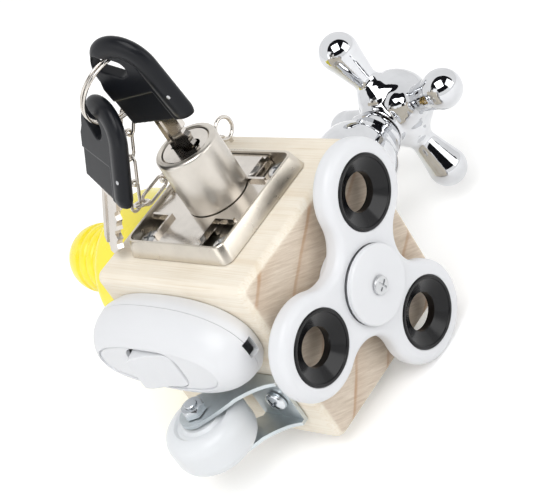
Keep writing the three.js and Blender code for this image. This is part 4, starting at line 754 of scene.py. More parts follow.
RING_RADIUS, RING_WIRE_RADIUS, RING_TURN_PITCH = 11.5, 0.42, 1.16
RING_END_ANGLE = radians(24)
RING_KEY_ANGLE, RING_CHAIN_ANGLE = radians(65.4), radians(-120)
RING_OUTWARD = Vector((-0.053, -0.886, 0.461)).normalized()
RING_UPWARD = Vector((0.524, 0.369, 0.768))
RING_UP = (RING_UPWARD - RING_OUTWARD * RING_UPWARD.dot(RING_OUTWARD)).normalized()
RING_AXIS = RING_OUTWARD.cross(RING_UP)
RING_IN_FIRST_KEY = Vector((-12.1, 0, 14.9))
RING_IN_SECOND_KEY = Vector((-12.8, 0, 12.3))
SECOND_KEY_TURN = Vector((-0.415, 0.205, -0.326))


def ring_offset(angle):
    return (RING_OUTWARD * cos(angle) + RING_UP * sin(angle)) * RING_RADIUS


RING_THROUGH_FIRST = FIRST_KEY @ (spin(-HEAD_LEANS[0], "Y") @ RING_IN_FIRST_KEY)
RING_CENTRE = RING_THROUGH_FIRST - ring_offset(RING_KEY_ANGLE)
SECOND_HEAD_TURN = Quaternion(SECOND_KEY_TURN.normalized(), SECOND_KEY_TURN.length)
SECOND_KEY_PLACE = RING_CENTRE + ring_offset(-RING_KEY_ANGLE) - SECOND_HEAD_TURN @ RING_IN_SECOND_KEY
SECOND_KEY = (shift(*SECOND_KEY_PLACE) @ SECOND_HEAD_TURN.to_matrix().to_4x4()
              @ spin(HEAD_LEANS[1], "Y"))


def make_keys():
    for number, place in ((1, FIRST_KEY), (2, SECOND_KEY)):
        make_head(number, place)
        make_rivet(number, place)


def make_key_ring():
    start = pi / 2 + RING_END_ANGLE
    end = start + 4 * pi - 2 * RING_END_ANGLE
    steps = 240
    path = []
    for i in range(steps + 1):
        angle = start + (end - start) * i / steps
        crossing = (angle - (start + end) / 2) / RING_END_ANGLE
        lift = RING_TURN_PITCH / 2 * max(-1, min(1, crossing))
        path.append(RING_CENTRE + ring_offset(angle) + RING_AXIS * lift)
    add_piece("key_ring_wire", sweep(path, RING_WIRE_RADIUS, RING_AXIS), IN_PLACE, NICKEL, "ring",
              ["key_ring"], crease=60)


make_keys()
make_key_ring()


# Chain of oval wire links from the ring to the screw eye

CHAIN_WIRE_RADIUS, CHAIN_HALF_WIDTH, RING_LINK_HALF_WIDTH = 0.5, 1.8, 2.6
CHAIN_HANG_SHARES = [(0.76, 0.74, 0.8), (0.47, 0.5, 0.53), (0.22, 0.24, 0.255)]
CHAIN_CORNER = Vector((-22.6, -9.1, 67.5))
CHAIN_LYING_JOINS = [(-22.9, -5.4, 66), (-21.3, 2.7, 67), (-19.6, 11, 68.2), (-18, 19, 68.2)]
CHAIN_CORNER_JOIN = len(CHAIN_HANG_SHARES) + 1
EYE_X, EYE_Y, EYE_LOOP_RADIUS, EYE_WIRE_RADIUS, EYE_NECK, EYE_SHANK = -16, 26.2, 3.4, 0.6, 1.6, 9


def link_shape(start, end, sideways, half_width):
    along = end - start
    half_straight = along.length / 2 - half_width
    along = along.normalized()
    side = along.cross(sideways).cross(along).normalized()
    normal = along.cross(side)
    middle = (start + end) / 2
    path = []
    steps = 24
    for half, sign in enumerate((1, -1)):
        for i in range(steps):
            angle = half * pi + pi * (i / (steps - 1) - 0.5)
            reach = half_straight * sign + half_width * cos(angle)
            path.append(middle + along * reach + side * (half_width * sin(angle)))
    return sweep(path, CHAIN_WIRE_RADIUS, normal, closed=True)


def make_chain():
    link_reach = CHAIN_WIRE_RADIUS + SEAT_GAP / 2
    ring_reach = RING_WIRE_RADIUS + CHAIN_WIRE_RADIUS + 2 * SEAT_GAP
    eye_reach = EYE_WIRE_RADIUS + CHAIN_WIRE_RADIUS + 2 * SEAT_GAP
    eye_contact = Vector((EYE_X, EYE_Y - EYE_LOOP_RADIUS, BLOCK + EYE_NECK + EYE_LOOP_RADIUS))
    ring_contact = RING_CENTRE + ring_offset(RING_CHAIN_ANGLE)
    rise = ring_contact - CHAIN_CORNER
    hanging = [CHAIN_CORNER + rise * Vector(shares) for shares in CHAIN_HANG_SHARES]
    lying = [Vector(place) for place in CHAIN_LYING_JOINS]
    stops = [ring_contact, *hanging, CHAIN_CORNER, *lying, eye_contact]
    x, y, z = Vector((1, 0, 0)), Vector((0, 1, 0)), Vector((0, 0, 1))
    sides = [RING_AXIS, y, x, y, x, z, x, z, x]
    for i, sideways in enumerate(sides):
        along = (stops[i + 1] - stops[i]).normalized()
        before = ring_reach if i == 0 else (0 if i == CHAIN_CORNER_JOIN else link_reach)
        after = eye_reach if i + 1 == len(sides) else link_reach * (2 if i + 1 == CHAIN_CORNER_JOIN else 1)
        half_width = RING_LINK_HALF_WIDTH if i == 0 else CHAIN_HALF_WIDTH
        shape = link_shape(stops[i] - along * before, stops[i + 1] + along * after, sideways, half_width)
        body = "ring" if i < CHAIN_CORNER_JOIN else "block"
        add_piece(f"chain_loop_{i + 1}", shape, IN_PLACE, NICKEL, body, [f"chain_link_{i + 1}"], crease=60)


def make_eye():
    centre = Vector((0, 0, EYE_NECK + EYE_LOOP_RADIUS))
    path = [centre + Vector((0, *heading(2 * pi * i / SMALL_STEPS, EYE_LOOP_RADIUS)))
            for i in range(SMALL_STEPS)]
    piece = mesh_object("screw_eye", sweep(path, EYE_WIRE_RADIUS, Vector((1, 0, 0)), closed=True))
    top = EYE_NECK + EYE_WIRE_RADIUS / 2
    shank = revolve([(0, -EYE_SHANK), (EYE_WIRE_RADIUS, 2 * EYE_WIRE_RADIUS - EYE_SHANK),
                     (EYE_WIRE_RADIUS, top), (0, top)], SMALL_STEPS // 2)
    combine(piece, [shank], "UNION")
    finish_piece(piece, on_face("top", EYE_X, EYE_Y), NICKEL, "block", ["chain_eye"], crease=50)


make_chain()
make_eye()


# Spinner on the right face

SPINNER_UP, SPINNER_TURN = 3, radians(-4.5)
LOBE_DISTANCE, LOBE_RADIUS, VALLEY_DISTANCE = 25.2, 15, 14.8
BODY_BACK, BODY_THICKNESS, BODY_EDGE = 3.6, 6.4, 2.3
RING_OUTER, RING_MOUTH, RING_BORE, RING_PROUD = 10.6, 9.5, 5.6, 0.35
BEARING_RADIUS, BEARING_WIDTH = 11, 7
CAP_RADIUS, CAP_THICKNESS, CAP_EDGE, CAP_BOSS, CAP_SPIGOT = 11.3, 1.5, 0.7, 5.4, 3.7
SPINNER_SCREW_SHANK = 1.7
SPINNER_SCREW, SPINNER_SCREW_TURN = (2.75, 1.1, SPINNER_SCREW_SHANK, 24), 25
LOBE_ANGLES = [SPINNER_TURN + pi / 3 + i * 2 * pi / 3 for i in range(3)]
BODY_FRONT = BODY_BACK + BODY_THICKNESS


def bearing(start, end):
    return atan2(end.y - start.y, end.x - start.x)


def spinner_outline(inset):
    """The three lobes and the hollows between them, drawn inwards by an inset."""
    top = LOBE_DISTANCE ** 2 + VALLEY_DISTANCE ** 2 - LOBE_DISTANCE * VALLEY_DISTANCE - LOBE_RADIUS ** 2
    valley_radius = top / (2 * LOBE_RADIUS + LOBE_DISTANCE - 2 * VALLEY_DISTANCE)
    valley_distance = VALLEY_DISTANCE + valley_radius
    points = []
    for angle in LOBE_ANGLES:
        lobe, next_lobe = (heading(angle + turn) * LOBE_DISTANCE for turn in (0, 2 * pi / 3))
        last, hollow = (heading(angle + turn) * valley_distance for turn in (-pi / 3, pi / 3))
        start, end = bearing(lobe, last), bearing(lobe, hollow)
        end += 2 * pi * (end < start)
        points += arc(lobe.x, lobe.y, LOBE_RADIUS - inset, start, end, 40)
        begin = end + pi
        finish = begin - (begin - bearing(hollow, next_lobe)) % (2 * pi)
        points += arc(hollow.x, hollow.y, valley_radius + inset, begin, finish, 24)[1:-1]
    return points


def lobe_seat(angle, height=0):
    return shift(*heading(angle, LOBE_DISTANCE), height)


def make_spinner_body(place):
    loops = []
    steps = 8
    turns = [pi / 2 * i / steps for i in range(steps + 1)]
    for sign, face in ((1, BODY_BACK), (-1, BODY_FRONT)):
        for turn in turns[::sign]:
            outline = spinner_outline(BODY_EDGE * (1 - sin(turn)))
            loops.append(level(outline, face + sign * BODY_EDGE * (1 - cos(turn))))
    piece = mesh_object("spinner_shell", loft(loops))
    low, high = BODY_BACK - OVERRUN, BODY_FRONT + OVERRUN
    holes = [moved(rod(RING_OUTER + SEAT_GAP / 2, low, high), lobe_seat(angle)) for angle in LOBE_ANGLES]
    combine(piece, [rod(BEARING_RADIUS + SEAT_GAP, low, high), *holes])
    finish_piece(piece, place, WHITE, "spinner", ["spinner_body"], crease=30)


def make_spinner_ring(number, angle, place):
    lip = RING_PROUD
    half = BODY_THICKNESS / 2 + lip
    profile = mirrored([
        *arc(RING_OUTER - lip, half - lip, lip, 0, pi / 2, 4),
        *arc(RING_MOUTH + lip, half - lip, lip, pi / 2, pi, 4), (RING_BORE, half / 3),
    ])
    seat = lobe_seat(angle, (BODY_BACK + BODY_FRONT) / 2)
    add_piece(f"spinner_insert_{number}", revolve([*profile, profile[0]]), place @ seat, GLOSS_BLACK,
              "spinner", [f"spinner_ring_{number}"])


def cap_shape(boss_height):
    spigot = boss_height + BEARING_WIDTH / 2 - SEAT_GAP / 2
    bore = SPINNER_SCREW_SHANK + SEAT_GAP
    return revolve([
        (bore, -spigot), (CAP_SPIGOT, -spigot), (CAP_SPIGOT, -boss_height), (CAP_BOSS, -boss_height),
        (CAP_BOSS, 0), (CAP_RADIUS, 0),
        *quarter(CAP_RADIUS - CAP_EDGE, CAP_THICKNESS - CAP_EDGE, CAP_EDGE),
        (bore, CAP_THICKNESS), (bore, -spigot),
    ])


def make_spinner():
    place = on_face("right", 0, SPINNER_UP)
    make_spinner_body(place)
    for number, angle in enumerate(LOBE_ANGLES, 1):
        make_spinner_ring(number, angle, place)
    proud = (BEARING_WIDTH - BODY_THICKNESS) / 2
    front_seat = BODY_FRONT + proud + 2 * SEAT_GAP
    back_seat = CAP_THICKNESS + SEAT_GAP
    back_boss = BODY_BACK - proud - SEAT_GAP - back_seat
    flip = shift(z=back_seat) @ spin(pi, "X")
    for side, boss, seat in (("front", SEAT_GAP, shift(z=front_seat)), ("back", back_boss, flip)):
        add_piece(f"spinner_cap_{side}", cap_shape(boss), place @ seat, WHITE, "block",
                  [f"spinner_{side}_cap"], crease=25)
    add_screw("spinner_pan_screw", SPINNER_SCREW, place @ shift(z=front_seat + CAP_THICKNESS + SEAT_GAP),
              SPINNER_SCREW_TURN, STEEL, "spinner_screw")


make_spinner()


# Rocker switch on the front face

SWITCH_ACROSS, SWITCH_UP = -2.7, 12.5
SWITCH_LENGTH, SWITCH_WIDTH, SWITCH_SEAM, SWITCH_HEIGHT = 58.8, 28.5, 5.5, 15.5
SWITCH_FOOT_SHARE, SWITCH_FLARE_SHARE = 0.94, 0.6
PANEL_LENGTH, PANEL_WIDTH, PANEL_STEP = 47, 16, 0.35
PANEL_GROOVE_SHARES = [(1, 0), (1.2, 2), (2, 2), (2.5, 1)]
SWITCH_SEAM_GAP = 0.12
OVAL_POWER = 2.4
ROCKER_VOXEL, ROCKER_SMOOTHING = 0.18, 4
SHRINK_SHARES = [0, 0.05, 0.24, 0.58, 0.88, 1]
RISE_SHARES = [0, 0.25, 0.55, 0.82, 0.96, 1]
ROCKER_RADIUS, ROCKER_WIDTH, ROCKER_AXIS, ROCKER_CORNER, ROCKER_GAP = 9.6, 12.5, 11.2, 5, 0.6
ROCKER_TILT = radians(14)
ROCKER_RISE, ROCKER_DIP, TRUNNION_RADIUS = 6.2, 5.3, 1.2
CORD_WIDTH, CORD_HEIGHT, CORD_ASIDE, CORD_ABOVE_SEAM = 5, 3.6, 1.2, -0.8
SWITCH_WALL = 1.8
CORD_DEPTH = 4 * SWITCH_WALL
SWITCH_FLOOR = SEAT_GAP + SWITCH_WALL


def switch_loop(length, width, height, inset=0.0):
    return oval_loop(length - 2 * inset, width - 2 * inset, height, OVAL_POWER)


def cord_hole():
    height = SWITCH_SEAM + CORD_ABOVE_SEAM
    return box(CORD_DEPTH, CORD_WIDTH, CORD_HEIGHT, SWITCH_LENGTH / 2, CORD_ASIDE, height)


def make_switch_base(place):
    foot = (SWITCH_LENGTH * SWITCH_FOOT_SHARE, SWITCH_WIDTH * SWITCH_FOOT_SHARE)
    seam = SWITCH_SEAM - SWITCH_SEAM_GAP / 2
    rows = smooth_table([(*foot, SEAT_GAP), (SWITCH_LENGTH, SWITCH_WIDTH, SWITCH_SEAM * SWITCH_FLARE_SHARE),
                         (SWITCH_LENGTH, SWITCH_WIDTH, seam)])
    piece = mesh_object("switch_back_shell", loft([switch_loop(*row) for row in rows]))
    hollow = loft([
        switch_loop(*foot, SWITCH_FLOOR, SWITCH_WALL),
        switch_loop(SWITCH_LENGTH, SWITCH_WIDTH, SWITCH_SEAM * SWITCH_FLARE_SHARE, SWITCH_WALL),
        switch_loop(SWITCH_LENGTH, SWITCH_WIDTH, SWITCH_SEAM + OVERRUN, SWITCH_WALL),
    ])
    combine(piece, [hollow, cord_hole()])
    finish_piece(piece, place, WHITE, "block", ["switch_base"], crease=40)


def make_switch_cover(place):
    rise = SWITCH_HEIGHT - SWITCH_SEAM
    rows = [(SWITCH_LENGTH + (PANEL_LENGTH - SWITCH_LENGTH) * shrink,
             SWITCH_WIDTH + (PANEL_WIDTH - SWITCH_WIDTH) * shrink, SWITCH_SEAM + rise * up)
            for shrink, up in zip(SHRINK_SHARES, RISE_SHARES)]
    loops = [switch_loop(*row) for row in smooth_table(rows, 6)]
    for point in loops[0]:
        point.z += SWITCH_SEAM_GAP / 2
    loops += [switch_loop(PANEL_LENGTH, PANEL_WIDTH, SWITCH_HEIGHT - PANEL_STEP * down, PANEL_STEP * inset)
              for inset, down in PANEL_GROOVE_SHARES]
    piece = mesh_object("switch_front_shell", loft(loops))
    inner = [switch_loop(SWITCH_LENGTH, SWITCH_WIDTH, SWITCH_SEAM - OVERRUN, SWITCH_WALL)]
    inner += [switch_loop(length, width, height - SWITCH_WALL, SWITCH_WALL)
              for length, width, height in rows if height > SWITCH_SEAM + SWITCH_WALL]
    outline = rounded_rectangle(2 * (ROCKER_RADIUS + ROCKER_GAP), ROCKER_WIDTH + 2 * ROCKER_GAP,
                                ROCKER_CORNER)
    window = slab(outline, SWITCH_SEAM, SWITCH_HEIGHT + OVERRUN)
    combine(piece, [loft(inner), window, cord_hole()])
    finish_piece(piece, place, WHITE, "block", ["switch_cover"], crease=32)


def make_rocker(place):
    side = [(-ROCKER_RADIUS, -TRUNNION_RADIUS), (ROCKER_RADIUS, -TRUNNION_RADIUS),
            (ROCKER_RADIUS, ROCKER_RISE), (0, ROCKER_DIP), (-ROCKER_RADIUS, ROCKER_RISE)]
    depth = ROCKER_WIDTH / 2 + OVERRUN
    piece = mesh_object("switch_paddle", turned(slab(side, -depth, depth), "X", pi / 2))
    outline = rounded_rectangle(2 * ROCKER_RADIUS, ROCKER_WIDTH, ROCKER_CORNER)
    combine(piece, [slab(outline, -ROCKER_RISE, 2 * ROCKER_RISE),
                    turned(rod(ROCKER_RADIUS, -depth, depth), "X", pi / 2)], "INTERSECT")
    soften(piece, ROCKER_VOXEL, ROCKER_SMOOTHING)
    seat = shift(z=ROCKER_AXIS) @ spin(ROCKER_TILT, "Y")
    finish_piece(piece, place @ seat, WHITE, "rocker", ["switch_rocker"], crease=50)


for make in (make_switch_base, make_switch_cover, make_rocker):
    make(on_face("front", SWITCH_ACROSS, SWITCH_UP))


# Caster on the front face, measured from its fixing screw

CASTER_ACROSS, CASTER_UP = 16.9, -12.5
FORK_SHEET, FORK_LENGTH, FORK_FRONT, FORK_WIDTH = 1.2, 15, 5.2, 17.6
TRAIL, AXLE_OUT, BOSS_RADIUS = 14.9, 16, 5.3
ARM_WAIST_SHARE, ARM_SHOULDER_SHARE, ARM_HEEL_SHARE = 0.62, 0.95, 0.45
BOSS_START, BOSS_END = radians(54), radians(198)
WHEEL_RADIUS, WHEEL_WIDTH, WHEEL_SHOULDER, WHEEL_HUB, WHEEL_DISH = 12.7, 13, 4.2, 6.5, 0.8
AXLE_RADIUS, AXLE_HEAD, AXLE_HEAD_HEIGHT = 1.8, 3.4, 1.6
NUT_RADIUS, NUT_HEIGHT, PAST_NUT = 3.6, 2.6, 0.4
AXLE_CROWN_SHARES = [(0.5, 0.96), (0.8, 0.8), (1, 0.3)]
NUT_CLEAR_SHARE, NUT_FACE_SHARE = 1.1, 0.85
CASTER_SCREW_SHANK = 1.7
CASTER_SCREW, CASTER_SCREW_TURN = (3.3, 2, CASTER_SCREW_SHANK, 16), 35
FORK_BACK = FORK_LENGTH - FORK_FRONT
FORK_EDGE = 0.22


def arm_outline():
    out = AXLE_OUT + SEAT_GAP
    low, sheet = SEAT_GAP, SEAT_GAP + 2 * FORK_SHEET
    waist = (-TRAIL / 3, out * ARM_WAIST_SHARE)
    boss = arc(-TRAIL, out, BOSS_RADIUS, BOSS_START, BOSS_END, 24)
    return [
        (FORK_FRONT, low), (FORK_FRONT, sheet),
        *quadratic((FORK_FRONT, sheet), (0, out / 4), waist),
        *quadratic(waist, (-TRAIL / 2, out * ARM_SHOULDER_SHARE), boss[0]),
        *boss[1:],
        *quadratic(boss[-1], (-TRAIL - BOSS_RADIUS / 2, out * ARM_HEEL_SHARE), (-FORK_BACK, sheet)),
        (-FORK_BACK, low),
    ]


def make_fork(place):
    middle = FORK_FRONT - FORK_LENGTH / 2
    piece = mesh_object("caster_bracket", box(FORK_LENGTH, FORK_WIDTH, FORK_SHEET, middle,
                                              z=SEAT_GAP + FORK_SHEET / 2))
    arm = slab(arm_outline(), -FORK_SHEET / 2, FORK_SHEET / 2)
    arms = [moved(arm, shift(y=side * (FORK_WIDTH - FORK_SHEET) / 2) @ spin(pi / 2, "X"))
            for side in (-1, 1)]
    combine(piece, arms, "UNION")
    top = SEAT_GAP + FORK_SHEET + OVERRUN
    combine(piece, [rod(CASTER_SCREW_SHANK + SEAT_GAP, -OVERRUN, top, TINY_STEPS)])
    bevel(piece, FORK_EDGE, segments=2, angle=40)
    finish_piece(piece, place, ZINC, "caster", ["caster_fork"])


def make_wheel(place):
    half = WHEEL_WIDTH / 2
    bore = AXLE_RADIUS + SEAT_GAP
    centre = WHEEL_RADIUS - WHEEL_SHOULDER
    side = [(bore, half), (WHEEL_HUB - WHEEL_DISH, half), (WHEEL_HUB, half - WHEEL_DISH),
            (centre - WHEEL_DISH, half - WHEEL_DISH)]
    round_edge = arc(centre, half - WHEEL_SHOULDER, WHEEL_SHOULDER, 0, pi / 2, 16)
    profile = mirrored(round_edge + side[::-1])
    add_piece("caster_tread", revolve([*profile, profile[0]]), place, NYLON, "wheel", ["caster_wheel"],
              crease=30)


def make_axle(place):
    half = FORK_WIDTH / 2
    head = half + SEAT_GAP
    end = half + 2 * SEAT_GAP + NUT_HEIGHT + PAST_NUT
    crown = [(AXLE_HEAD * across, -head - AXLE_HEAD_HEIGHT * out) for across, out in AXLE_CROWN_SHARES]
    bolt = revolve([
        (0, -head - AXLE_HEAD_HEIGHT), *crown, (AXLE_HEAD, -head), (AXLE_RADIUS, -head),
        (AXLE_RADIUS, end - PAST_NUT / 2), (AXLE_RADIUS - PAST_NUT / 2, end), (0, end),
    ], SMALL_STEPS)
    add_piece("caster_bolt", bolt, place, BRIGHT_ZINC, "caster", ["caster_axle_bolt"])
    corners = [pi * i / 3 for i in range(6)]
    hexagon = [(NUT_RADIUS * sin(corner), NUT_RADIUS * cos(corner)) for corner in corners]
    nut = mesh_object("caster_nut", slab(hexagon, -NUT_HEIGHT / 2, NUT_HEIGHT / 2))
    clear = NUT_RADIUS * NUT_CLEAR_SHARE
    chamfer = revolve([
        (0, -NUT_HEIGHT), (clear, -NUT_HEIGHT), (clear, 0), (NUT_RADIUS * NUT_FACE_SHARE, NUT_HEIGHT / 2),
        (0, NUT_HEIGHT / 2),
    ], SMALL_STEPS)
    combine(nut, [chamfer], "INTERSECT")
    combine(nut, [rod(AXLE_RADIUS + SEAT_GAP / 3, -NUT_HEIGHT, NUT_HEIGHT, SMALL_STEPS)])
    seat = shift(z=half + SEAT_GAP + NUT_HEIGHT / 2)
    finish_piece(nut, place @ seat, BRIGHT_ZINC, "caster", ["caster_axle_nut"], crease=25)


def make_caster():
    place = on_face("front", CASTER_ACROSS, CASTER_UP)
    make_fork(place)
    axle = place @ shift(-TRAIL, z=AXLE_OUT + SEAT_GAP) @ spin(-pi / 2, "X")
    make_wheel(axle)
    make_axle(axle)
    add_screw("caster_pan_screw", CASTER_SCREW, place @ shift(z=2 * SEAT_GAP + FORK_SHEET),
              CASTER_SCREW_TURN, BRIGHT_ZINC, "caster_screw")


make_caster()


# Tap on the back face

TAP_UP = 0.8
BONNET_LENGTH, BONNET_FOOT, BONNET_RADIUS, BONNET_SHOULDER, BONNET_DOME = 32.6, 15, 13, 17.5, 8.5
BONNET_COLLAR, BONNET_MOUTH, BONNET_BEAD, BONNET_BORE = 9.4, 7.6, 1.5, 5.9
HANDLE_PLANE, HUB_RADIUS, HUB_FRONT, HUB_BACK, NECK_RADIUS = 42, 11.6, 13, 8.5, 7.4
HANDLE_REACH, BALL_RADIUS, WAIST_RADIUS, WAIST_REACH = 25, 6.3, 4.1, 13
HUB_BACK_SHARES = [(0.67, 0.75), (0.86, 0.38), (1, 0)]
HUB_FRONT_SHARES = [(0.95, 0.38), (0.8, 0.67), (0.5, 0.9), (0, 1)]
ARM_ROOT_SHARES = [(0.76, 0), (0.66, 0.62), (0.48, 0.92)]
ARM_WAIST_SHARES = [(1, 1), (1.14, 1.3)]
HANDLE_BALL_START = radians(-20)
HANDLE_TURN = radians(-20)
HANDLE_ARMS = 4
HANDLE_VOXEL, HANDLE_SMOOTHING = 0.35, 14


def make_bonnet(place):
    bead = BONNET_BEAD
    dome = [(BONNET_COLLAR + (BONNET_RADIUS - BONNET_COLLAR) * in_by, BONNET_SHOULDER + BONNET_DOME * up)
            for in_by, up in arc(0, 0, 1, 0, pi / 2, 20)]
    collar = BONNET_SHOULDER + BONNET_DOME
    foot = smooth_table([(BONNET_FOOT, SEAT_GAP + bead), (BONNET_FOOT - bead, SEAT_GAP + 2 * bead),
                         (BONNET_RADIUS, SEAT_GAP + 3 * bead)])
    shape = revolve([
        (BONNET_BORE, SEAT_GAP), (BONNET_FOOT, SEAT_GAP), *foot, *dome,
        (BONNET_COLLAR, collar + bead), (BONNET_MOUTH, collar + 1.5 * bead),
        (BONNET_MOUTH, collar + 2 * bead), (BONNET_COLLAR - bead / 2, collar + 2.5 * bead),
        (BONNET_COLLAR - bead / 2, collar + 3 * bead), (BONNET_MOUTH, BONNET_LENGTH),
        (BONNET_BORE, BONNET_LENGTH), (BONNET_BORE, SEAT_GAP),
    ], FINE_STEPS)
    add_piece("tap_body", shape, place, CHROME, "block", ["tap_bonnet"], crease=40)


def handle_hub():
    back = [(HUB_RADIUS * across, -HUB_BACK * down) for across, down in HUB_BACK_SHARES]
    front = [(HUB_RADIUS * across, HUB_FRONT * up) for across, up in HUB_FRONT_SHARES]
    return revolve([(0, -HUB_BACK), *smooth_table([(NECK_RADIUS, -HUB_BACK), *back, *front], 6)])


def handle_arm():
    root = [(HUB_RADIUS * across, HUB_RADIUS * out) for across, out in ARM_ROOT_SHARES]
    waist = [(WAIST_RADIUS * across, WAIST_REACH * out) for across, out in ARM_WAIST_SHARES]
    ball = arc(0, HANDLE_REACH, BALL_RADIUS, HANDLE_BALL_START, pi / 2, 24)
    curve = smooth_table([*root, *waist, ball[0]], 6)
    profile = [(0, 0), *curve[:-1], *ball[:-1], (0, HANDLE_REACH + BALL_RADIUS)]
    return turned(revolve(profile, SMALL_STEPS), "Y", pi / 2)


def make_handle(place):
    piece = mesh_object("tap_ball_handle", handle_hub())
    arms = [turned(handle_arm(), "Z", HANDLE_TURN + i * 2 * pi / HANDLE_ARMS) for i in range(HANDLE_ARMS)]
    combine(piece, arms, "UNION")
    soften(piece, HANDLE_VOXEL, HANDLE_SMOOTHING)
    finish_piece(piece, place @ shift(z=HANDLE_PLANE), CHROME, "handle", ["tap_handle"], crease=60)


for make in (make_bonnet, make_handle):
    make(on_face("back", 0, TAP_UP))


# Ringed knob and its drum on the left face

KNOB_UP = 3
DRUM_RADIUS, DRUM_LENGTH, DRUM_EDGE, DRUM_WALL = 23, 22, 4, 2.2
KNOB_RADIUS, KNOB_BALL, KNOB_RINGS, KNOB_DEPTH = 11, 42.6, 6, 0.9
KNOB_STEM, KNOB_STEM_INSIDE, KNOB_BULGE_POWER = 5, 7, 0.6
KNOB_BALL_START = radians(4)


def make_drum(place):
    inner = DRUM_RADIUS - DRUM_WALL
    hole = KNOB_STEM + SEAT_GAP
    inner_edge = DRUM_EDGE - DRUM_WALL
    shape = revolve([
        (inner, SEAT_GAP), (DRUM_RADIUS, SEAT_GAP),
        *quarter(DRUM_RADIUS - DRUM_EDGE, DRUM_LENGTH - DRUM_EDGE, DRUM_EDGE),
        (hole, DRUM_LENGTH), (hole, DRUM_LENGTH - DRUM_WALL),
        *quarter(inner - inner_edge, DRUM_LENGTH - DRUM_WALL - inner_edge, inner_edge, pi / 2, 0),
        (inner, SEAT_GAP),
    ], FINE_STEPS)
    add_piece("drum_shell", shape, place, YELLOW, "block", ["drum"], crease=40)


def make_knob(place):
    face = DRUM_LENGTH + SEAT_GAP
    inside = DRUM_LENGTH - KNOB_STEM_INSIDE
    groove = KNOB_RADIUS - KNOB_DEPTH
    pitch = (KNOB_BALL - face) / KNOB_RINGS
    points = [(0, inside), (KNOB_STEM, inside), (KNOB_STEM, face), (groove, face)]
    steps = 12
    for ring in range(KNOB_RINGS):
        for i in range(1, steps + 1):
            bulge = sin(pi * i / steps) ** KNOB_BULGE_POWER
            points.append((groove + KNOB_DEPTH * bulge, face + pitch * (ring + i / steps)))
    ball = arc(0, KNOB_BALL, KNOB_RADIUS, KNOB_BALL_START, pi / 2, TINY_STEPS)
    points += ball[:-1] + [(0, KNOB_BALL + KNOB_RADIUS)]
    add_piece("ringed_knob", revolve(points, FINE_STEPS), place, YELLOW, "knob_turning", ["knob"], crease=45)


for make in (make_drum, make_knob):
    make(on_face("left", 0, KNOB_UP))


# Solids that keep their own shape and take a finished material

KEPT = {
    NICKEL: ["lock_cover_plate", "lock_deadbolt", "key_1_blade", "key_2_blade"],
    STEEL: ["spinner_bearing_outer", "spinner_bearing_inner", "spinner_bearing_cage", "switch_screw_1",
            "switch_screw_2", "drum_screw_1", "drum_screw_2", "knob_clip"],
    BRASS: ["tap_stem"],
    YELLOW: ["drum_base_plate"],
}


def dress_solids():
    for (material, _), names in KEPT.items():
        for name in names:
            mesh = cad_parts[name].data
            mesh.materials.clear()
            mesh.materials.append(material)


dress_solids()


# Floor, dark flag behind the camera, lights and camera

PHOTO_WIDTH = 533
FOCAL_PIXELS = 1742.57
CAMERA_PLACE = Vector((349.749, -228.675, 306.072)) * MM
CAMERA_RIGHT = Vector((0.709585, 0.523867, -0.471224))
CAMERA_DOWN = Vector((0.060155, -0.711361, -0.700248))
CAMERA_FORWARD = Vector((-0.702047, 0.468539, -0.536285))
SENSOR_WIDTH, CLIP_START, CLIP_END = 36, 0.01, 20
FLOOR_SIZE, FLOOR_GAP = 8.0, 0.0002
FLOOR_COLOUR, FLOOR_ROUGHNESS, FLOOR_LIFT = (0.92, 0.92, 0.92), 0.9, 0.26
WORLD_LIGHT = 0.80
FLAG_COLOUR, FLAG_RADIUS = (0.02, 0.02, 0.024), 2.6
FLAG_SPREAD, FLAG_LOWEST = radians(70), radians(18)
LIT_POINT = Vector((0, 0, 0.05))

# Lights: name, way to the lamp from the lit point, distance, width and power
LIGHTS = [
    ("key", (0.343, -0.343, 0.874), 1.2, 0.85, 10.0),
    ("side", (0.87, 0.26, 0.42), 1.2, 0.8, 4.0),
    ("front", (-0.12, -0.9, 0.42), 1.3, 0.9, 3.2),
]


def seen_directly(tree):
    """1 for rays from the camera, off glossy surfaces or through clear ones, and 0 for diffuse light."""
    camera, glossy, clear = (add_node(tree, "LightPath", f"Is {kind} Ray")
                             for kind in ("Camera", "Glossy", "Transmission"))
    return maths(tree, "MAXIMUM", maths(tree, "MAXIMUM", camera, glossy), clear)


def add_stage_piece(name, shape, looks):
    piece = mesh_object(name, shape)
    material, tree = new_material(name)
    set_shader(tree, {"Specular IOR Level": 0.0, **looks(tree)})
    piece.data.materials.append(material)


def floor_looks(tree):
    lift = maths(tree, "MULTIPLY", seen_directly(tree), FLOOR_LIFT)
    return {"Base Color": FLOOR_COLOUR, "Roughness": FLOOR_ROUGHNESS, "Emission Color": (1, 1, 1),
            "Emission Strength": lift}


def make_floor():
    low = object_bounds()[0][2] - FLOOR_GAP
    half = FLOOR_SIZE / 2
    corners = [Vector((x, y, low)) for x, y in ((-half, -half), (half, -half), (half, half), (-half, half))]
    add_stage_piece("floor", (corners, [(0, 1, 2, 3)]), floor_looks)


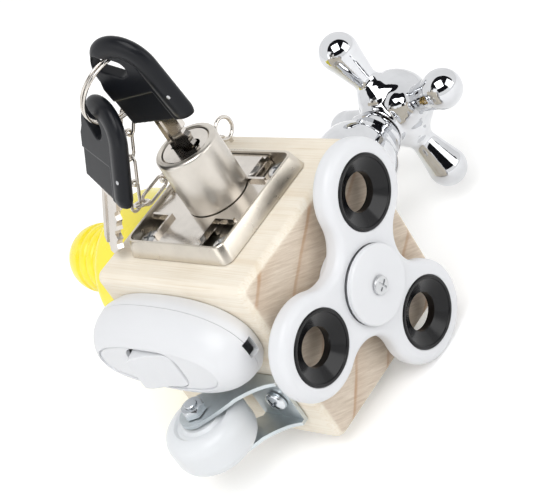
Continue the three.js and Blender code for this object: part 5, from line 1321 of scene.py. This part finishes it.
def make_flag():
    """A dark cloth on a dome behind the camera, which gives bright metal its dark reflections."""
    axis = -CAMERA_FORWARD.normalized()
    side = axis.orthogonal().normalized()
    over = axis.cross(side)
    rings, steps = 16, 48
    points, faces = [], []
    for ring in range(rings + 1):
        spread = FLAG_SPREAD * ring / rings
        for i in range(steps):
            angle = 2 * pi * i / steps
            outward = side * cos(angle) + over * sin(angle)
            way = axis * cos(spread) + outward * sin(spread)
            lift = max(asin(way.z), FLAG_LOWEST)
            flat = Vector((way.x, way.y, 0)).normalized()
            points.append((flat * cos(lift) + Vector((0, 0, sin(lift)))) * FLAG_RADIUS)
    for row in range(0, rings * steps, steps):
        for i in range(steps):
            k = (i + 1) % steps
            faces.append((row + i, row + k, row + steps + k, row + steps + i))
    add_stage_piece("flag", (points, faces), lambda tree: {"Base Color": FLAG_COLOUR, "Roughness": 1.0})


def make_world():
    world = bpy.data.worlds.new("studio")
    bpy.context.scene.world = world
    world.use_nodes = True
    tree = world.node_tree
    lift = maths(tree, "MULTIPLY", seen_directly(tree), 1 - WORLD_LIGHT)
    background = tree.nodes["Background"].inputs
    feed(tree, background["Strength"], maths(tree, "ADD", lift, WORLD_LIGHT))
    feed(tree, background["Color"], (1, 1, 1))


def make_lights():
    for name, way, distance, size, power in LIGHTS:
        data = bpy.data.lights.new(name, "AREA")
        data.size = size
        data.energy = power
        lamp = bpy.data.objects.new(name, data)
        lamp.location = LIT_POINT + Vector(way).normalized() * distance
        lamp.rotation_mode = "QUATERNION"
        lamp.rotation_quaternion = Vector(way).to_track_quat("Z", "Y")
        bpy.context.scene.collection.objects.link(lamp)


def make_camera():
    data = bpy.data.cameras.new("camera")
    data.sensor_width = SENSOR_WIDTH
    data.lens = FOCAL_PIXELS / PHOTO_WIDTH * SENSOR_WIDTH
    data.clip_start, data.clip_end = CLIP_START, CLIP_END
    camera = bpy.data.objects.new("camera", data)
    turn = Matrix((CAMERA_RIGHT, -CAMERA_DOWN, -CAMERA_FORWARD)).transposed()
    camera.matrix_world = shift(*CAMERA_PLACE) @ turn.to_4x4()
    bpy.context.scene.collection.objects.link(camera)
    bpy.context.scene.camera = camera


make_floor()
make_flag()
make_world()
make_lights()
make_camera()
bpy.context.scene.view_settings.view_transform = "Standard"
